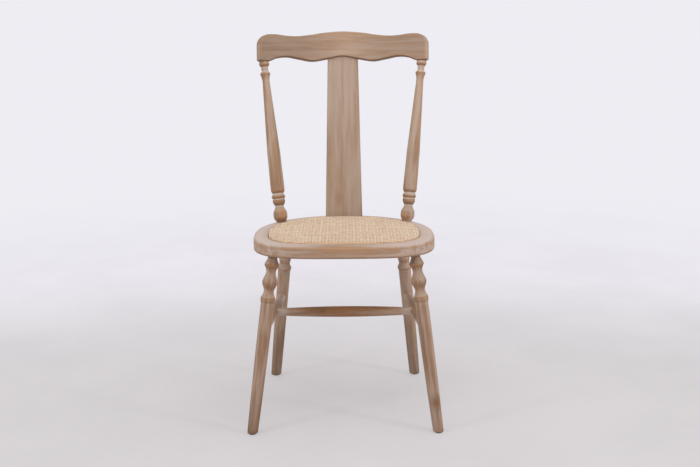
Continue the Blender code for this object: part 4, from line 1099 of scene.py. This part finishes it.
def seat():
    """The ring of four rails, the cane and what lies under it."""
    front = FRONT_JOINT_DEGREES
    rear = REAR_JOINT_DEGREES
    rails = (
        ("rail_front", front - 180.0, -front, "X", 11, "seat_front_rail", "limed_wood_warm"),
        ("rail_right", -front, rear, "Y", 12, "seat_side_rail_right", "limed_wood_pale"),
        ("rail_rear", rear, 180.0 - rear, "X", 13, "seat_rear_rail", "limed_wood_pale"),
        ("rail_left", 180.0 - rear, 180.0 + front, "Y", 14, "seat_side_rail_left", "limed_wood_pale"),
    )
    for name, first, last, axis, seed, replaced, slot in rails:
        seat_rail(name, first, last, limed_wood(name, "rim", axis, seed), replaced)
    cane = cane_finish()
    cane_layer("cane_strands_lengthwise", pair_runs(True), 7, cane)
    cane_layer("cane_strands_crosswise", pair_runs(False), 8, cane)
    cane_layer("cane_diagonals_right", diagonal_runs(1.0), 9, cane)
    cane_layer("cane_diagonals_left", diagonal_runs(-1.0), 10, cane)
    give("seat_panel_board", plain_wood("plywood", (214, 190, 158), (188, 158, 124), (0.05, 1.0, 1.0), 160.0))
    dowel = plain_wood("beech_dowel", (206, 172, 134), (180, 142, 104), (1.0, 1.0, 1.0), 260.0)
    for number in range(1, 9):
        give(f"rail_dowel_{number}", dowel)
    steel = small_finish("screw_steel", (196, 194, 188), (150, 148, 144), 0.34, 1.0, 420.0)
    for number in range(1, 7):
        give(f"panel_screw_{number}", steel)


def legs_and_stretchers():
    """The four legs with their glides, the side stretchers and the cross stretcher."""
    nylon = small_finish("glide_nylon", (34, 30, 28), (18, 16, 15), 0.55, 0.0, 300.0)
    middles = []
    for key, side in SIDES.items():
        ends = []
        for kind, slot in (("front", "limed_wood_warm"), ("rear", "limed_wood_shade")):
            leg(kind, key)
            give(f"glide_{kind}_{key}", nylon)
            ends.append(point_between(*leg_axis(kind, side), STRETCHER_HEIGHT))
        finish = limed_wood(f"stretcher_{key}", "side_bar", "Z", TURNED_LOOKS[f"front_leg_{key}"][2] + 2)
        stretcher(f"swelled_side_stretcher_{key}", ends, SIDE_STRETCHER_RADII, (0.0, 0.10), finish,
                  f"side_stretcher_{key}")
        middles.append((ends[0] + ends[1]) / 2.0)
    stretcher("swelled_cross_stretcher", middles, CROSS_STRETCHER_RADII, (-0.10, 0.26),
              limed_wood("stretcher_cross", "bar", "Z", 41), "cross_stretcher")


def back():
    """The crest, the two posts and the splat."""
    crest(limed_wood("crest", "crest", "X", 51))
    for key in SIDES:
        back_post(key)
    splat(limed_wood("splat", "splat", "Z", 54, SPLAT_KNOT))


# ---------------------------------------------------------------- studio


def floor():
    """A wide pale floor that takes the chair's soft shadow, with a painted soft shadow left of the chair and
    painted light falloff from near to far, and fades into the pale background.
    """
    mesh = bpy.data.meshes.new("studio_floor")
    work = bmesh.new()
    bmesh.ops.create_circle(work, cap_ends=True, segments=96, radius=FLOOR_RADIUS)
    work.to_mesh(mesh)
    work.free()
    add_object("studio_floor", mesh)
    made, nodes = new_finish("studio_floor")
    made.node_tree.nodes.remove(made.node_tree.nodes["Principled BSDF"])
    where = nodes.add("TexCoord", {}).outputs["Object"]
    far = nodes.vectors("LENGTH", where, output="Value")
    cloud = nodes.spread(nodes.noise(where, 2.4, 4.0, 0.6), 0.3, 0.7, 0.955, 1.02)
    speck = nodes.noise(nodes.scaled(where, (1.0, 2.0, 1.0)), 60.0, 3.0, 0.6)
    cloud = nodes.maths("MULTIPLY", cloud, nodes.spread(speck, 0.3, 0.7, 0.984, 1.016))
    near = nodes.add("BsdfDiffuse", {"Color": linear((214, 210, 211))}).outputs[0]
    # Painted light falloff: the floor's glow is darker near the camera and paler towards the back.
    shade = nodes.mix(nodes.spread(nodes.parts(where)["Y"], 0.05, 1.25), (215, 211, 213), (233, 230, 237))
    shade = nodes.mix(1.0, shade, nodes.grey(cloud), "MULTIPLY")
    # A soft painted shadow darkens the floor left of the chair.
    from_painted_shadow = nodes.vectors("DISTANCE", where, PAINTED_FLOOR_SHADOW, "Value")
    shade = nodes.mix(1.0, shade, nodes.grey(nodes.spread(from_painted_shadow, 0.05, 0.45, 0.94, 1.0)), "MULTIPLY")
    shade = nodes.mix(nodes.spread(far, 0.8, 3.6), shade, BACKGROUND_COLOUR)
    glow = nodes.add("Emission", {"Color": shade, "Strength": 1.0}).outputs[0]
    seen = nodes.add("LightPath", {}).outputs
    direct = nodes.maths("MAXIMUM", seen["Is Camera Ray"], seen["Is Glossy Ray"])
    share = nodes.maths("MULTIPLY", nodes.spread(far, 0.55, 1.6, FLOOR_GLOW, 1.0), direct)
    mixed = nodes.add("MixShader", {0: share, 1: near, 2: glow}).outputs[0]
    nodes.fill(made.node_tree.nodes["Material Output"], {"Surface": mixed})
    mesh.materials.append(made)


def world():
    """Even pale light from all round, and the pale background that the camera sees."""
    made = bpy.data.worlds.new("studio")
    bpy.context.scene.world = made
    made.use_nodes = True
    nodes = Nodes(made.node_tree)
    made.node_tree.nodes.clear()
    light = nodes.add("Background", {"Color": (0.97, 0.98, 1.0, 1.0), "Strength": 0.62}).outputs[0]
    seen_colour = nodes.add("Background", {"Color": linear(BACKGROUND_COLOUR), "Strength": 1.0}).outputs[0]
    seen = nodes.add("LightPath", {}).outputs["Is Camera Ray"]
    mixed = nodes.add("MixShader", {0: seen, 1: light, 2: seen_colour}).outputs[0]
    nodes.add("OutputWorld", {"Surface": mixed})


def lamp(name, place, aim, size, power):
    """A soft square lamp that faces a point of the chair."""
    data = bpy.data.lights.new(name, "AREA")
    data.shape = "SQUARE"
    data.size = size
    data.energy = power
    made = add_object(name, data)
    made.location = place
    made.rotation_euler = (Vector(aim) - Vector(place)).to_track_quat("-Z", "Y").to_euler()


def camera():
    """The camera at the photograph's place and angle."""
    data = bpy.data.cameras.new("camera")
    data.sensor_width = SENSOR_MILLIMETRES
    data.lens = LENS_MILLIMETRES
    made = add_object("camera", data)
    pitch = Matrix.Rotation(radians(90.0 - CAMERA_DOWN_DEGREES), 4, "X")
    roll = Matrix.Rotation(radians(CAMERA_ROLL_DEGREES), 4, "Z")
    yaw = Matrix.Rotation(radians(CAMERA_YAW_DEGREES), 4, "Z")
    made.matrix_world = Matrix.Translation(CAMERA_PLACE) @ yaw @ pitch @ roll
    bpy.context.scene.camera = made


limed_grain()
seat()
legs_and_stretchers()
back()
floor()
world()
for name, settings in LAMPS.items():
    lamp(name, *settings)
camera()
bpy.context.scene.view_settings.view_transform = "Standard"
